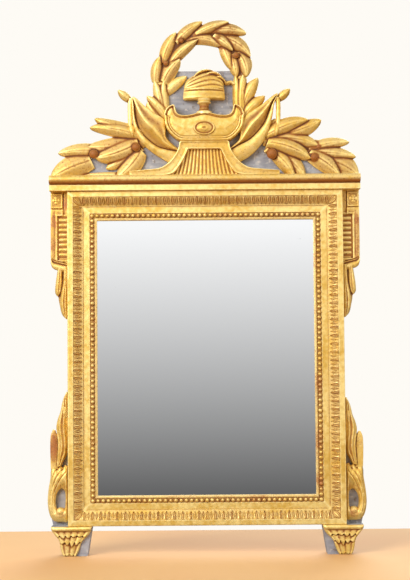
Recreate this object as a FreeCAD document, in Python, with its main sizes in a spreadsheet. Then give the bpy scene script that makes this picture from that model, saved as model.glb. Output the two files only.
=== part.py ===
import FreeCAD, Part
import math
import os
import Sketcher

# A standing and hanging mirror in a carved, gilt and painted frame. Millimetres, Z up, the
# mirror faces -Y. The soles of the feet are at Z = 0 and the depth is centred on Y = 0.

SIZES = [
    ("foot_height", 43.5, "sole to the underside of the frame"),
    ("foot_top_width", 60.5, "width of a foot block under the frame"),
    ("foot_sole_width", 39.5, "width of a foot block on the floor"),
    ("foot_inset", 35.5, "outer edge of the frame to the inner edge of a foot block"),
    ("foot_lean", 7.0, "inner edge of a foot block, top to sole, outwards"),
    ("foot_depth", 27.0, "front to back of a foot block"),
    ("foot_leaf_depth", 8.0, "relief of the carved leaf on a foot"),
    ("foot_dowel_radius", 3.0, "pegs between foot and frame"),
    ("foot_dowel_length", 24.0, "pegs between foot and frame"),
    ("foot_dowel_pitch", 10.0, "centre to centre of the two pegs of a foot"),
    ("foot_dowel_inset", 15.5, "outer edge of the frame to the outer peg of a foot"),
    ("frame_width", 411.0, "over the outer edges of the stiles"),
    ("frame_height", 496.5, "over the outer edges of the rails"),
    ("frame_thickness", 30.0, "back to the face of the outer band"),
    ("moulding_width", 43.5, "outer edge to sight edge"),
    ("edge_round", 1.5, "rounding of the outer arris"),
    ("outer_band", 8.5, "flat outer band of the moulding"),
    ("band_step", 1.5, "step from the outer band down to the ogee"),
    ("ogee_width", 14.0, "leaf-carved ogee"),
    ("ogee_drop", 6.5, "fall of the ogee towards the glass"),
    ("quirk_drop", 1.5, "step from the ogee down to the flat band"),
    ("flat_band", 10.5, "flat band inside the ogee"),
    ("bead_radius", 3.4, "bead roll at the sight edge"),
    ("rebate_width", 8.0, "ledge behind the sight edge"),
    ("rebate_depth", 16.0, "back of the frame to the ledge"),
    ("spline_length", 20.0, "feather in a mitre, along the mitre"),
    ("spline_width", 16.0, "feather in a mitre, across the mitre"),
    ("spline_thickness", 4.0, "feather in a mitre, front to back"),
    ("spline_inset", 17.0, "feather centre in from both outer edges"),
    ("spline_setting", 5.0, "back of the frame to the feather"),
    ("joint_gap", 0.15, "play round pegs and feathers"),
    ("glass_thickness", 4.0, "silvered plate"),
    ("glass_gap", 2.0, "edge of the glass to the rebate wall"),
    ("spacer_length", 22.0, "softwood blocks round the glass"),
    ("back_board_thickness", 8.0, "boards behind the glass"),
    ("back_board_gap", 0.8, "between the back boards and at their ends"),
    ("brad_radius", 0.8, "brads that hold the back boards"),
    ("brad_length", 16.0, "half of it stands out over a board"),
    ("cornice_width", 463.0, "end to end"),
    ("cornice_height", 23.0, "top of the frame to the foot of the crest"),
    ("cornice_depth", 42.0, "back to the face of the roll"),
    ("fascia_height", 8.5, "flat band under the roll"),
    ("fascia_set_back", 6.0, "face of the roll back to the flat band"),
    ("cornice_quirk", 2.0, "groove between the flat band and the roll"),
    ("crest_height", 237.0, "top of the cornice to the topmost leaf"),
    ("crest_board_thickness", 12.0, "painted ground of the crest"),
    ("crest_dowel_radius", 3.5, "pegs through the cornice"),
    ("crest_dowel_length", 60.0, "pegs through the cornice"),
    ("crest_dowel_foot", 12.0, "depth of these pegs in the top rail"),
    ("crest_dowel_pitch", 170.0, "centre to centre of these pegs"),
    ("pedestal_relief", 18.0, "pedestal of the trophy, off the ground"),
    ("flute_panel_relief", 11.0, "fluted panel in the pedestal"),
    ("flute_width", 3.4, "one flute"),
    ("flute_pitch", 5.6, "centre to centre of the flutes"),
    ("flute_depth", 3.0, "cut of a flute"),
    ("flute_count", 9, "full flutes in the pedestal"),
    ("bowl_relief", 21.0, "boat-shaped bowl, off the ground"),
    ("bowl_rim", 4.0, "raised border of the bowl"),
    ("bowl_sinking", 2.5, "panel of the bowl below its border"),
    ("medallion_width", 30.0, "oval boss on the bowl"),
    ("medallion_height", 20.0, "oval boss on the bowl"),
    ("medallion_relief", 4.5, "oval boss on the bowl"),
    ("stem_foot_radius", 9.6, "turned stem between bowl and lid"),
    ("stem_waist_radius", 4.8, "turned stem between bowl and lid"),
    ("stem_top_radius", 8.0, "turned stem between bowl and lid"),
    ("lid_width", 65.0, "drum of the lid"),
    ("lid_height", 15.0, "drum of the lid"),
    ("lid_relief", 18.0, "drum of the lid, off the ground"),
    ("flame_relief", 16.0, "flames on the lid, off the ground"),
    ("flag_relief", 15.0, "middle of a flag, off the ground"),
    ("flag_crown", 38.0, "radius of the rounded face of a flag"),
    ("hem_relief", 9.0, "rolled hem of a flag, off the ground"),
    ("pole_knot_radius", 4.2, "knot between the head of a flag's pole and its tassel"),
    ("leaf_height", 9.5, "rib of a laurel leaf, off the ground"),
    ("leaf_edge", 3.0, "edge of a laurel leaf, off the ground"),
    ("leaf_tip", 3.5, "tip of a laurel leaf, off the ground"),
    ("berry_lift", 0.4, "ground to a berry of a spray"),
    ("branch_width", 6.0, "stem of a laurel branch"),
    ("branch_height", 5.0, "stem of a laurel branch"),
    ("wreath_core_width", 15.0, "band under the leaves of the wreath"),
    ("wreath_core_height", 9.0, "band under the leaves of the wreath"),
    ("wreath_leaf_height", 12.5, "rib of a leaf of the wreath, off the ground"),
    ("wreath_leaf_edge", 6.0, "edge of a leaf of the wreath, off the ground"),
    ("wreath_leaf_lift", 0.2, "ground to the back of the wreath's first leaf"),
    ("wreath_leaf_step", 0.13, "each further leaf in front of the one before"),
    ("wreath_dowel_radius", 1.6, "pins between the arch and its stems"),
    ("wreath_dowel_length", 18.0, "pins between the arch and its stems"),
    ("ear_width", 24.5, "side ear, off the stile"),
    ("ear_height", 116.0, "side ear under the cornice"),
    ("ear_depth", 20.0, "side ear, back to face"),
    ("ear_corner", 14.0, "rounded lower corner of an ear"),
    ("ear_block_height", 23.0, "square block at the head of an ear"),
    ("ear_block_width", 19.5, "square block at the head of an ear"),
    ("ear_block_top", 3.0, "cornice to the square block"),
    ("ear_block_relief", 3.5, "square block at the head of an ear"),
    ("ear_panel_width", 16.5, "sunk panel of an ear"),
    ("ear_panel_height", 68.0, "sunk panel of an ear"),
    ("ear_panel_inset", 1.6, "stile to the sunk panel"),
    ("ear_panel_top", 32.0, "cornice to the sunk panel"),
    ("ear_panel_depth", 2.0, "sunk panel of an ear"),
    ("ear_slot_height", 4.2, "one flute of the sunk panel"),
    ("ear_slot_pitch", 7.4, "centre to centre of these flutes"),
    ("ear_slot_depth", 3.0, "cut of these flutes"),
    ("ear_slot_count", 9, "flutes in the sunk panel"),
    ("husk_length", 74.0, "leaf drop under an ear"),
    ("husk_width", 16.0, "leaf drop under an ear"),
    ("husk_depth", 16.0, "leaf drop, back to its core's face"),
    ("scroll_width", 31.5, "side scroll, off the stile"),
    ("scroll_height", 195.0, "foot block to the tip of the scroll's leaf"),
    ("scroll_relief", 12.0, "side scroll, off its painted ground"),
    ("ground_thickness", 8.0, "painted ground behind a scroll"),
    ("side_dowel_radius", 2.4, "pegs between stile and ears or scrolls"),
    ("side_dowel_length", 26.0, "pegs between stile and ears or scrolls"),
    ("eye_radius", 4.5, "hanging eye, centre to the middle of its wire"),
    ("eye_wire_radius", 1.5, "wire of a hanging eye"),
    ("eye_shank_length", 14.0, "shank of a hanging eye in the wood"),
    ("ring_radius", 12.0, "hanging ring, centre to the middle of its wire"),
    ("ring_wire_radius", 1.5, "wire of a hanging ring"),
    ("ring_seat_gap", 0.05, "hanging ring to the wire of its eye"),
    ("hanger_inset", 60.5, "outer edge of the frame to a hanging eye"),
    ("hanger_drop", 22.0, "top of the frame to the hanging eyes"),
]

doc = FreeCAD.newDocument("gilt_mirror")
sheet = doc.addObject("Spreadsheet::Sheet", "Sizes")
for row, (alias, size, meaning) in enumerate(SIZES, start=1):
    sheet.set(f"A{row}", meaning)
    sheet.set(f"B{row}", str(size))
    sheet.setAlias(f"B{row}", alias)
doc.recompute()


class SheetReader:
    """Gives a size of the sheet as a plain number."""

    def __getattr__(self, alias):
        return float(sheet.get(alias))


size_of = SheetReader()

# Places that follow from the sizes.
BACK = "(Sizes.cornice_depth / 2 - Sizes.eye_radius - Sizes.eye_wire_radius)"
FRAME_SIDE = "(Sizes.frame_width / 2)"
FRAME_TOP = "(Sizes.foot_height + Sizes.frame_height)"
FRAME_MIDDLE = "(Sizes.foot_height + Sizes.frame_height / 2)"
CORNICE_TOP = "(Sizes.foot_height + Sizes.frame_height + Sizes.cornice_height)"
GROUND = f"({BACK} - Sizes.crest_board_thickness)"
REBATE_SIDE = "(Sizes.frame_width / 2 - Sizes.moulding_width + Sizes.rebate_width)"
REBATE_FOOT = "(Sizes.foot_height + Sizes.moulding_width - Sizes.rebate_width)"
REBATE_HEIGHT = "(Sizes.frame_height - 2 * Sizes.moulding_width + 2 * Sizes.rebate_width)"
BOARD_FRONT = f"({BACK} - Sizes.rebate_depth + Sizes.glass_thickness)"
BOARD_BACK = f"({BOARD_FRONT} + Sizes.back_board_thickness)"
SCROLL_GROUND = f"({BACK} - Sizes.ground_thickness)"

subparts = []
WEST = FreeCAD.Vector(-1, 0, 0)
EAST = FreeCAD.Vector(1, 0, 0)
FRONT = FreeCAD.Vector(0, -1, 0)
UP = FreeCAD.Vector(0, 0, 1)
BULGE_SHARE = math.sqrt(0.5)


def number(expression):
    """Works out an expression of the sheet's sizes."""
    return float(sheet.evalExpression(expression))


def keep(feature, label):
    """Names a finished sub-part and marks it for writing."""
    feature.Label = label
    subparts.append(feature)
    return feature


def mirrored(feature, label):
    """The same sub-part on the left-hand side."""
    twin = doc.addObject("Part::Mirroring", label)
    twin.Source = feature
    twin.Normal = EAST
    return keep(twin, label)


def origin_plane(body, role):
    return [plane for plane in body.Origin.OriginFeatures if plane.Role == role][0]


def draw(sketch, corners):
    """Draws one closed outline. A corner is a pair of expressions; a second pair in it is a point
    that the edge to the next corner bends through."""
    places = [[number(term) for term in corner] for corner in corners]
    first = sketch.GeometryCount
    ends = []
    for index, place in enumerate(places):
        onward = places[(index + 1) % len(places)]
        start = FreeCAD.Vector(place[0], place[1], 0)
        finish = FreeCAD.Vector(onward[0], onward[1], 0)
        if len(place) == 2:
            sketch.addGeometry(Part.LineSegment(start, finish))
            ends.append((1, 2))
            continue
        through = FreeCAD.Vector(place[2], place[3], 0)
        turns_left = (through - start).cross(finish - through).z > 0
        if turns_left:
            arc = Part.Arc(start, through, finish)
        else:
            arc = Part.Arc(finish, through, start)
        sketch.addGeometry(arc)
        ends.append((1, 2) if turns_left else (2, 1))
    for index, corner in enumerate(corners):
        edge = first + index
        onward = (index + 1) % len(corners)
        sketch.addConstraint(
            Sketcher.Constraint("Coincident", edge, ends[index][1], first + onward, ends[onward][0]))
        hold(sketch, edge, ends[index][0], corner[0], corner[1])
        if len(corner) == 4:
            point = sketch.addGeometry(
                Part.Point(FreeCAD.Vector(places[index][2], places[index][3], 0)), True)
            hold_later.append((sketch, point, corner, edge))
    for waiting, point, corner, edge in hold_later:
        hold(waiting, point, 1, corner[2], corner[3])
        waiting.addConstraint(Sketcher.Constraint("PointOnObject", point, 1, edge))
    hold_later.clear()


hold_later = []


def hold(sketch, geometry, point, across, along):
    """Ties a point of a sketch to a pair of expressions."""
    for kind, expression in (("DistanceX", across), ("DistanceY", along)):
        index = sketch.addConstraint(
            Sketcher.Constraint(kind, -1, 1, geometry, point, number(expression)))
        sketch.setExpression(f"Constraints[{index}]", expression)


def outline(body, name, corners, role="XZ_Plane", offset="0"):
    """A sketch of one closed outline on a plane of the body's own origin."""
    sketch = body.newObject("Sketcher::SketchObject", name)
    sketch.AttachmentSupport = [(origin_plane(body, role), "")]
    sketch.MapMode = "FlatFace"
    sketch.setExpression("AttachmentOffset.Base.z", offset)
    draw(sketch, corners)
    return sketch


def pad(body, name, sketch, length):
    feature = body.newObject("PartDesign::Pad", name)
    feature.Profile = sketch
    feature.setExpression("Length", length)
    doc.recompute()
    return feature


def pocket(body, name, sketch, depth):
    feature = body.newObject("PartDesign::Pocket", name)
    feature.Profile = sketch
    feature.setExpression("Length", depth)
    doc.recompute()
    return feature


def slabs(name, outlines, front, thickness):
    """Plates that lie parallel to the wall, back to front from an expression's Y."""
    sketch = doc.addObject("Sketcher::SketchObject", name + "_outlines")
    sketch.Placement.Rotation = FreeCAD.Rotation(EAST, 90)
    sketch.setExpression("Placement.Base.y", front)
    for corners in outlines:
        draw(sketch, corners)
    feature = doc.addObject("Part::Extrusion", name)
    feature.Base = sketch
    feature.DirMode = "Custom"
    feature.Dir = -FRONT
    feature.setExpression("LengthFwd", thickness)
    feature.Solid = True
    return feature


def peg(name, radius, length, place, axis):
    """A round peg from a place along an axis."""
    feature = doc.addObject("Part::Cylinder", name)
    feature.setExpression("Radius", radius)
    feature.setExpression("Height", length)
    feature.Placement.Rotation = FreeCAD.Rotation(UP, axis)
    for coordinate, expression in zip("xyz", place):
        feature.setExpression(f"Placement.Base.{coordinate}", expression)
    return feature


def socket(name, radius, length, place, axis):
    """The hole of a peg, with the play of a joint round it."""
    return peg(name, f"{radius} + Sizes.joint_gap", length, place, axis)


def compound(name, features):
    feature = doc.addObject("Part::Compound", name)
    feature.Links = features
    return feature


def cut(name, base, tools):
    feature = doc.addObject("Part::Cut", name)
    feature.Base = base
    feature.Tool = compound(name + "_cutters", tools) if len(tools) > 1 else tools[0]
    return feature


def box(name, place, sides):
    feature = doc.addObject("Part::Box", name)
    for coordinate, expression in zip("xyz", place):
        feature.setExpression(f"Placement.Base.{coordinate}", expression)
    for side, expression in zip(("Length", "Width", "Height"), sides):
        feature.setExpression(side, expression)
    return feature


def rectangle(left, right, low, high):
    return [(left, low), (right, low), (right, high), (left, high)]


def solid(name, shape):
    """A carved shape as a feature of the document."""
    feature = doc.addObject("Part::Feature", name)
    feature.Shape = shape
    return feature


# Pegs and brads. Each list of places is used twice, for the peg and for its hole.

CREST_DOWEL_SIDES = ("-Sizes.crest_dowel_pitch / 2", "Sizes.crest_dowel_pitch / 2")
crest_dowel_places = [
    (side, f"{BACK} - Sizes.crest_board_thickness / 2", f"{FRAME_TOP} - Sizes.crest_dowel_foot")
    for side in CREST_DOWEL_SIDES]
crest_dowels = [
    peg("crest_dowel", "Sizes.crest_dowel_radius", "Sizes.crest_dowel_length", place, UP)
    for place in crest_dowel_places]
keep(compound("crest_dowels", crest_dowels), "crest_dowels")


def crest_sockets(name):
    return [
        socket(name, "Sizes.crest_dowel_radius", "Sizes.crest_dowel_length + Sizes.joint_gap", place, UP)
        for place in crest_dowel_places]


foot_dowel_places = [
    (f"{side} * ({FRAME_SIDE} - Sizes.foot_dowel_inset - {step} * Sizes.foot_dowel_pitch)",
     f"{BACK} - Sizes.foot_depth / 2",
     "Sizes.foot_height - Sizes.foot_dowel_length / 2")
    for side in (-1, 1) for step in (0, 1)]
foot_dowels = [
    peg("foot_dowel", "Sizes.foot_dowel_radius", "Sizes.foot_dowel_length", place, UP)
    for place in foot_dowel_places]
keep(compound("foot_dowels", foot_dowels), "foot_dowels")


def foot_sockets(name, places):
    return [
        socket(name, "Sizes.foot_dowel_radius", "Sizes.foot_dowel_length + Sizes.joint_gap", place, UP)
        for place in places]


EAR_DOWEL_SHARES = (0.32, 0.75)
SCROLL_DOWEL_SHARES = (0.2, 0.42)
side_dowel_levels = [
    (f"{FRAME_TOP} - Sizes.ear_height * {share}", f"{BACK} - Sizes.ground_thickness / 2")
    for share in EAR_DOWEL_SHARES]
side_dowel_levels += [
    (f"Sizes.foot_height + Sizes.scroll_height * {share}", f"{BACK} - Sizes.ground_thickness / 2")
    for share in SCROLL_DOWEL_SHARES]
side_dowel_places = [
    (f"{side} * {FRAME_SIDE} - Sizes.side_dowel_length / 2", depth, level)
    for side in (-1, 1) for level, depth in side_dowel_levels]
side_dowels = [
    peg("side_dowel", "Sizes.side_dowel_radius", "Sizes.side_dowel_length", place, EAST)
    for place in side_dowel_places]
keep(compound("side_dowels", side_dowels), "side_dowels")
left_dowel_places = side_dowel_places[:len(side_dowel_levels)]
right_dowel_places = side_dowel_places[len(side_dowel_levels):]


def side_sockets(name, places):
    return [
        socket(name, "Sizes.side_dowel_radius", "Sizes.side_dowel_length + Sizes.joint_gap",
               (f"{place[0]} - Sizes.joint_gap / 2", place[1], place[2]), EAST)
        for place in places]


BRAD_LEVEL_SHARES = (1 / 6, 1 / 2, 5 / 6)
BRAD_SIDE_SHARES = (-0.5, 0.5)
BRAD_DEPTH = f"{BOARD_BACK} + Sizes.brad_radius"
left_brad_places = [
    (f"-{REBATE_SIDE} - Sizes.brad_length / 2", BRAD_DEPTH, f"{REBATE_FOOT} + {REBATE_HEIGHT} * {share}")
    for share in BRAD_LEVEL_SHARES]
right_brad_places = [
    (f"{REBATE_SIDE} - Sizes.brad_length / 2", BRAD_DEPTH, f"{REBATE_FOOT} + {REBATE_HEIGHT} * {share}")
    for share in BRAD_LEVEL_SHARES]
bottom_brad_places = [
    (f"{REBATE_SIDE} * {share}", BRAD_DEPTH, f"{REBATE_FOOT} - Sizes.brad_length / 2")
    for share in BRAD_SIDE_SHARES]
top_brad_places = [
    (f"{REBATE_SIDE} * {share}", BRAD_DEPTH, f"{REBATE_FOOT} + {REBATE_HEIGHT} - Sizes.brad_length / 2")
    for share in BRAD_SIDE_SHARES]
brads = [
    peg("brad", "Sizes.brad_radius", "Sizes.brad_length", place, EAST)
    for place in left_brad_places + right_brad_places]
brads += [
    peg("brad", "Sizes.brad_radius", "Sizes.brad_length", place, UP)
    for place in bottom_brad_places + top_brad_places]
keep(compound("back_brads", brads), "back_brads")


def brad_holes(name, places, axis):
    return [
        socket(name, "Sizes.brad_radius", "Sizes.brad_length", place, axis)
        for place in places]


# Feathers across the four mitres, let in from the back.

def feather(side, level, outwards, play):
    """The corners of a feather that lies along the mitre of one corner of the frame."""
    middle_x = f"{side} * ({FRAME_SIDE} - Sizes.spline_inset)"
    middle_z = f"{level} + {outwards} * Sizes.spline_inset"
    long_half = f"(Sizes.spline_length / 2 + {play}) * {BULGE_SHARE}"
    wide_half = f"(Sizes.spline_width / 2 + {play}) * {BULGE_SHARE}"
    corners = []
    for along, across in ((1, 1), (1, -1), (-1, -1), (-1, 1)):
        corners.append((
            f"{middle_x} + {side} * ({along} * {long_half} + {across} * {wide_half})",
            f"{middle_z} - {outwards} * ({along} * {long_half} - {across} * {wide_half})"))
    return corners


MITRES = (
    (-1, "Sizes.foot_height", 1), (1, "Sizes.foot_height", 1),
    (-1, FRAME_TOP, -1), (1, FRAME_TOP, -1))
spline_front = f"{BACK} - Sizes.spline_setting - Sizes.spline_thickness"
splines = slabs(
    "mitre_splines", [feather(*mitre, "0") for mitre in MITRES], spline_front, "Sizes.spline_thickness")
keep(splines, "mitre_splines")


def spline_slots(name):
    return slabs(
        name, [feather(*mitre, "Sizes.joint_gap") for mitre in MITRES],
        f"{spline_front} - Sizes.joint_gap", "Sizes.spline_thickness + 2 * Sizes.joint_gap")


# Hanging eyes and rings: an eye of bent wire in the back of the top rail, its hole along X, and a
# ring that hangs in it and swings about its own wire where that lies in the eye.

EYE_DEPTH = f"({BACK} + Sizes.eye_radius + Sizes.eye_wire_radius)"
EYE_LEVEL = f"({FRAME_TOP} - Sizes.hanger_drop)"
EYE_SIDE = f"({FRAME_SIDE} - Sizes.hanger_inset)"
RING_PIVOT = (
    f"({EYE_LEVEL} - Sizes.eye_radius + Sizes.eye_wire_radius + Sizes.ring_wire_radius"
    " + Sizes.ring_seat_gap)")


def hanging_eye(side, label):
    loop = doc.addObject("Part::Torus", label + "_loop")
    loop.setExpression("Radius1", "Sizes.eye_radius")
    loop.setExpression("Radius2", "Sizes.eye_wire_radius")
    loop.Placement.Rotation = FreeCAD.Rotation(UP, EAST)
    for coordinate, expression in zip("xyz", (f"{side} * {EYE_SIDE}", EYE_DEPTH, EYE_LEVEL)):
        loop.setExpression(f"Placement.Base.{coordinate}", expression)
    shank = peg(
        label + "_shank", "Sizes.eye_wire_radius", "Sizes.eye_shank_length + Sizes.eye_wire_radius",
        (f"{side} * {EYE_SIDE}", f"{BACK} + Sizes.eye_wire_radius", EYE_LEVEL), FRONT)
    eye = doc.addObject("Part::Fuse", label)
    eye.Base = loop
    eye.Tool = shank
    return keep(eye, label)


def hanging_ring(side, label):
    ring = doc.addObject("Part::Torus", label)
    ring.setExpression("Radius1", "Sizes.ring_radius")
    ring.setExpression("Radius2", "Sizes.ring_wire_radius")
    ring.Placement.Rotation = FreeCAD.Rotation(UP, FRONT)
    place = (f"{side} * {EYE_SIDE}", EYE_DEPTH, f"{RING_PIVOT} - Sizes.ring_radius")
    for coordinate, expression in zip("xyz", place):
        ring.setExpression(f"Placement.Base.{coordinate}", expression)
    return keep(ring, label)


hanging_eye(-1, "hanging_eye_left")
hanging_eye(1, "hanging_eye_right")
hanging_ring(-1, "hanging_ring_left")
hanging_ring(1, "hanging_ring_right")
eye_holes = [
    socket("eye_hole", "Sizes.eye_wire_radius", "Sizes.eye_shank_length + Sizes.joint_gap",
           (f"{side} * {EYE_SIDE}", BACK, EYE_LEVEL), FRONT)
    for side in (-1, 1)]

# The frame: four lengths of one moulding, mitred. In a length's own frame the outer edge lies on
# Z = 0, the sight edge is above it and the back is on Y = 0.

ogee_front = "(Sizes.frame_thickness - Sizes.band_step)"
ogee_start = "Sizes.outer_band"
flat_level = f"({ogee_front} - Sizes.ogee_drop - Sizes.quirk_drop)"
flat_start = "(Sizes.outer_band + Sizes.ogee_width)"
bead_start = f"({flat_start} + Sizes.flat_band)"
OGEE_BULGE_SHARE = 0.07
moulding_profile = [
    ("0", "0"),
    ("Sizes.edge_round - Sizes.frame_thickness", "0",
     f"Sizes.edge_round * (1 - {BULGE_SHARE}) - Sizes.frame_thickness",
     f"Sizes.edge_round * (1 - {BULGE_SHARE})"),
    ("-Sizes.frame_thickness", "Sizes.edge_round"),
    ("-Sizes.frame_thickness", ogee_start),
    (f"-{ogee_front}", ogee_start,
     f"-{ogee_front} + Sizes.ogee_drop / 4 - Sizes.ogee_width * {OGEE_BULGE_SHARE}",
     f"{ogee_start} + Sizes.ogee_width / 4 + Sizes.ogee_drop * {OGEE_BULGE_SHARE}"),
    (f"-{ogee_front} + Sizes.ogee_drop / 2", f"{ogee_start} + Sizes.ogee_width / 2",
     f"-{ogee_front} + Sizes.ogee_drop * 3 / 4 + Sizes.ogee_width * {OGEE_BULGE_SHARE}",
     f"{ogee_start} + Sizes.ogee_width * 3 / 4 - Sizes.ogee_drop * {OGEE_BULGE_SHARE}"),
    (f"-{ogee_front} + Sizes.ogee_drop", flat_start),
    (f"-{flat_level}", flat_start),
    (f"-{flat_level}", bead_start,
     f"-{flat_level} - Sizes.bead_radius", f"{bead_start} + Sizes.bead_radius"),
    (f"-{flat_level}", f"{bead_start} + 2 * Sizes.bead_radius"),
    (f"-{flat_level}", "Sizes.moulding_width"),
    ("-Sizes.rebate_depth", "Sizes.moulding_width"),
    ("-Sizes.rebate_depth", "Sizes.moulding_width - Sizes.rebate_width"),
    ("0", "Sizes.moulding_width - Sizes.rebate_width"),
]


def moulding(label, length, place, turn, tools):
    """One mitred length of the frame moulding, turned about Y and bored for its pegs."""
    body = doc.addObject("PartDesign::Body", label + "_moulding")
    profile = outline(body, label + "_profile", moulding_profile, "YZ_Plane")
    bar = pad(body, label + "_bar", profile, length)
    bar.SideType = "Symmetric"
    mitres = outline(body, label + "_mitres", [
        (f"{length} / 2", "0"),
        (f"{length} / 2", "Sizes.moulding_width"),
        (f"{length} / 2 - Sizes.moulding_width", "Sizes.moulding_width")])
    draw(mitres, [
        (f"-{length} / 2", "0"),
        (f"-{length} / 2", "Sizes.moulding_width"),
        (f"-{length} / 2 + Sizes.moulding_width", "Sizes.moulding_width")])
    ends = body.newObject("PartDesign::Pocket", label + "_ends")
    ends.Profile = mitres
    ends.SideType = "Symmetric"
    ends.Type = "ThroughAll"
    body.Placement.Rotation = FreeCAD.Rotation(-FRONT, turn)
    for coordinate, expression in zip("xyz", place):
        body.setExpression(f"Placement.Base.{coordinate}", expression)
    doc.recompute()
    return keep(cut(label, body, tools), label)


moulding(
    "frame_bottom_rail", "Sizes.frame_width", ("0", BACK, "Sizes.foot_height"), 0,
    [spline_slots("bottom_slots")] + foot_sockets("bottom_socket", foot_dowel_places)
    + brad_holes("bottom_brad_hole", bottom_brad_places, UP))
moulding(
    "frame_top_rail", "Sizes.frame_width", ("0", BACK, FRAME_TOP), 180,
    [spline_slots("top_slots")] + crest_sockets("top_socket") + eye_holes
    + brad_holes("top_brad_hole", top_brad_places, UP))
moulding(
    "frame_left_stile", "Sizes.frame_height", (f"-{FRAME_SIDE}", BACK, FRAME_MIDDLE), 90,
    [spline_slots("left_slots")] + side_sockets("left_socket", left_dowel_places)
    + brad_holes("left_brad_hole", left_brad_places, EAST))
moulding(
    "frame_right_stile", "Sizes.frame_height", (FRAME_SIDE, BACK, FRAME_MIDDLE), -90,
    [spline_slots("right_slots")] + side_sockets("right_socket", right_dowel_places)
    + brad_holes("right_brad_hole", right_brad_places, EAST))

# The silvered plate, blocked in its rebate, and the three boards behind it.

glass_half = f"({REBATE_SIDE} - Sizes.glass_gap)"
glass_front = f"({BACK} - Sizes.rebate_depth)"
glass_foot = f"({REBATE_FOOT} + Sizes.glass_gap)"
glass_height = f"({REBATE_HEIGHT} - 2 * Sizes.glass_gap)"
keep(box(
    "mirror_glass", (f"-{glass_half}", glass_front, glass_foot),
    (f"2 * {glass_half}", "Sizes.glass_thickness", glass_height)), "mirror_glass")

SPACER_SHARES = (0.25, 0.75)
spacer_outlines = []
for share in SPACER_SHARES:
    level = f"{glass_foot} + {glass_height} * {share}"
    middle = f"-{glass_half} + 2 * {glass_half} * {share}"
    low, high = f"{level} - Sizes.spacer_length / 2", f"{level} + Sizes.spacer_length / 2"
    left, right = f"{middle} - Sizes.spacer_length / 2", f"{middle} + Sizes.spacer_length / 2"
    spacer_outlines += [
        rectangle(f"-{REBATE_SIDE}", f"-{glass_half}", low, high),
        rectangle(glass_half, REBATE_SIDE, low, high),
        rectangle(left, right, REBATE_FOOT, glass_foot),
        rectangle(left, right, f"{glass_foot} + {glass_height}", f"{REBATE_FOOT} + {REBATE_HEIGHT}")]
keep(slabs("glass_spacers", spacer_outlines, glass_front, "Sizes.glass_thickness"), "glass_spacers")

board_side = f"({REBATE_SIDE} - Sizes.back_board_gap)"
board_pitch = f"(({REBATE_HEIGHT}) / 3)"
for place, label in enumerate(("back_board_lower", "back_board_middle", "back_board_upper")):
    keep(box(
        label, (f"-{board_side}", BOARD_FRONT, f"{REBATE_FOOT} + {board_pitch} * {place}"),
        (f"2 * {board_side}", "Sizes.back_board_thickness", f"{board_pitch} - Sizes.back_board_gap")),
        label)

# The cornice: a roll over a groove and a flat band, run along X.

cornice = doc.addObject("PartDesign::Body", "cornice_moulding")
roll_foot = "(Sizes.fascia_height + Sizes.cornice_quirk)"
roll_radius = f"((Sizes.cornice_height - {roll_foot}) / 2)"
fascia_face = "(Sizes.cornice_depth - Sizes.fascia_set_back)"
cornice_profile = outline(cornice, "cornice_profile", [
    ("0", "0"),
    (f"-{fascia_face}", "0"),
    (f"-{fascia_face}", "Sizes.fascia_height"),
    (f"-{fascia_face} + Sizes.cornice_quirk", "Sizes.fascia_height"),
    (f"-{fascia_face} + Sizes.cornice_quirk", roll_foot),
    (f"-Sizes.cornice_depth + {roll_radius}", roll_foot,
     "-Sizes.cornice_depth", f"{roll_foot} + {roll_radius}"),
    (f"-Sizes.cornice_depth + {roll_radius}", "Sizes.cornice_height"),
    ("0", "Sizes.cornice_height")], "YZ_Plane")
pad(cornice, "cornice_run", cornice_profile, "Sizes.cornice_width").SideType = "Symmetric"
cornice.setExpression("Placement.Base.y", BACK)
cornice.setExpression("Placement.Base.z", FRAME_TOP)
keep(cut("cornice", cornice, crest_sockets("cornice_socket")), "cornice")

# The crest. Places on it are shares of half the cornice's width across and of its height up.


def crest_x(share):
    return f"(Sizes.cornice_width / 2 * {share})"


def crest_z(share):
    return f"({CORNICE_TOP} + Sizes.crest_height * {share})"


def crest_outline(shares, play="0"):
    """The corners of an outline that is the same on both sides, from its right half: each corner
    as shares, with the shares of the point that its edge bends through, where it bends."""
    right = []
    for corner in shares:
        terms = []
        for place, share in enumerate(corner):
            terms.append(crest_z(share) if place % 2 else f"({crest_x(share)} - {play})")
        right.append(tuple(terms))
    left = []
    for place in range(len(right) - 1, -1, -1):
        onward = right[place - 1] if place else ()
        corner = (f"-{right[place][0]}", right[place][1])
        if len(onward) == 4:
            corner += (f"-{onward[2]}", onward[3])
        left.append(corner)
    return right + left


CREST_BOARD_SHARES = [
    (0.222, 0.675), (0.262, 0.60), (0.268, 0.545), (0.34, 0.46), (0.42, 0.36), (0.50, 0.25),
    (0.62, 0.175), (0.80, 0.09), (0.93, 0.03), (0.93, 0)]
crest_ground = doc.addObject("PartDesign::Body", "crest_ground")
crest_ground_outline = outline(
    crest_ground, "crest_ground_outline", crest_outline(CREST_BOARD_SHARES), offset=f"-{BACK}")
pad(crest_ground, "crest_ground_pad", crest_ground_outline, "Sizes.crest_board_thickness")
keep(cut("crest_board", crest_ground, crest_sockets("crest_socket")), "crest_board")

# The pedestal of the trophy: an arch with spreading feet round a fluted panel.

PEDESTAL_TOP_SHARE = 0.217
PEDESTAL_SHARES = [
    (0.153, PEDESTAL_TOP_SHARE), (0.153, 0.18), (0.163, 0.155, 0.198, 0.085), (0.28, 0.036),
    (0.467, 0.024), (0.467, 0), (0.225, 0, 0.16, 0.072), (0.108, 0.168)]
pedestal = doc.addObject("PartDesign::Body", "pedestal")
pedestal_outline = outline(
    pedestal, "pedestal_outline", crest_outline(PEDESTAL_SHARES), offset=f"-{GROUND}")
pad(pedestal, "pedestal_pad", pedestal_outline, "Sizes.pedestal_relief")
keep(pedestal, "pedestal")

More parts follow.
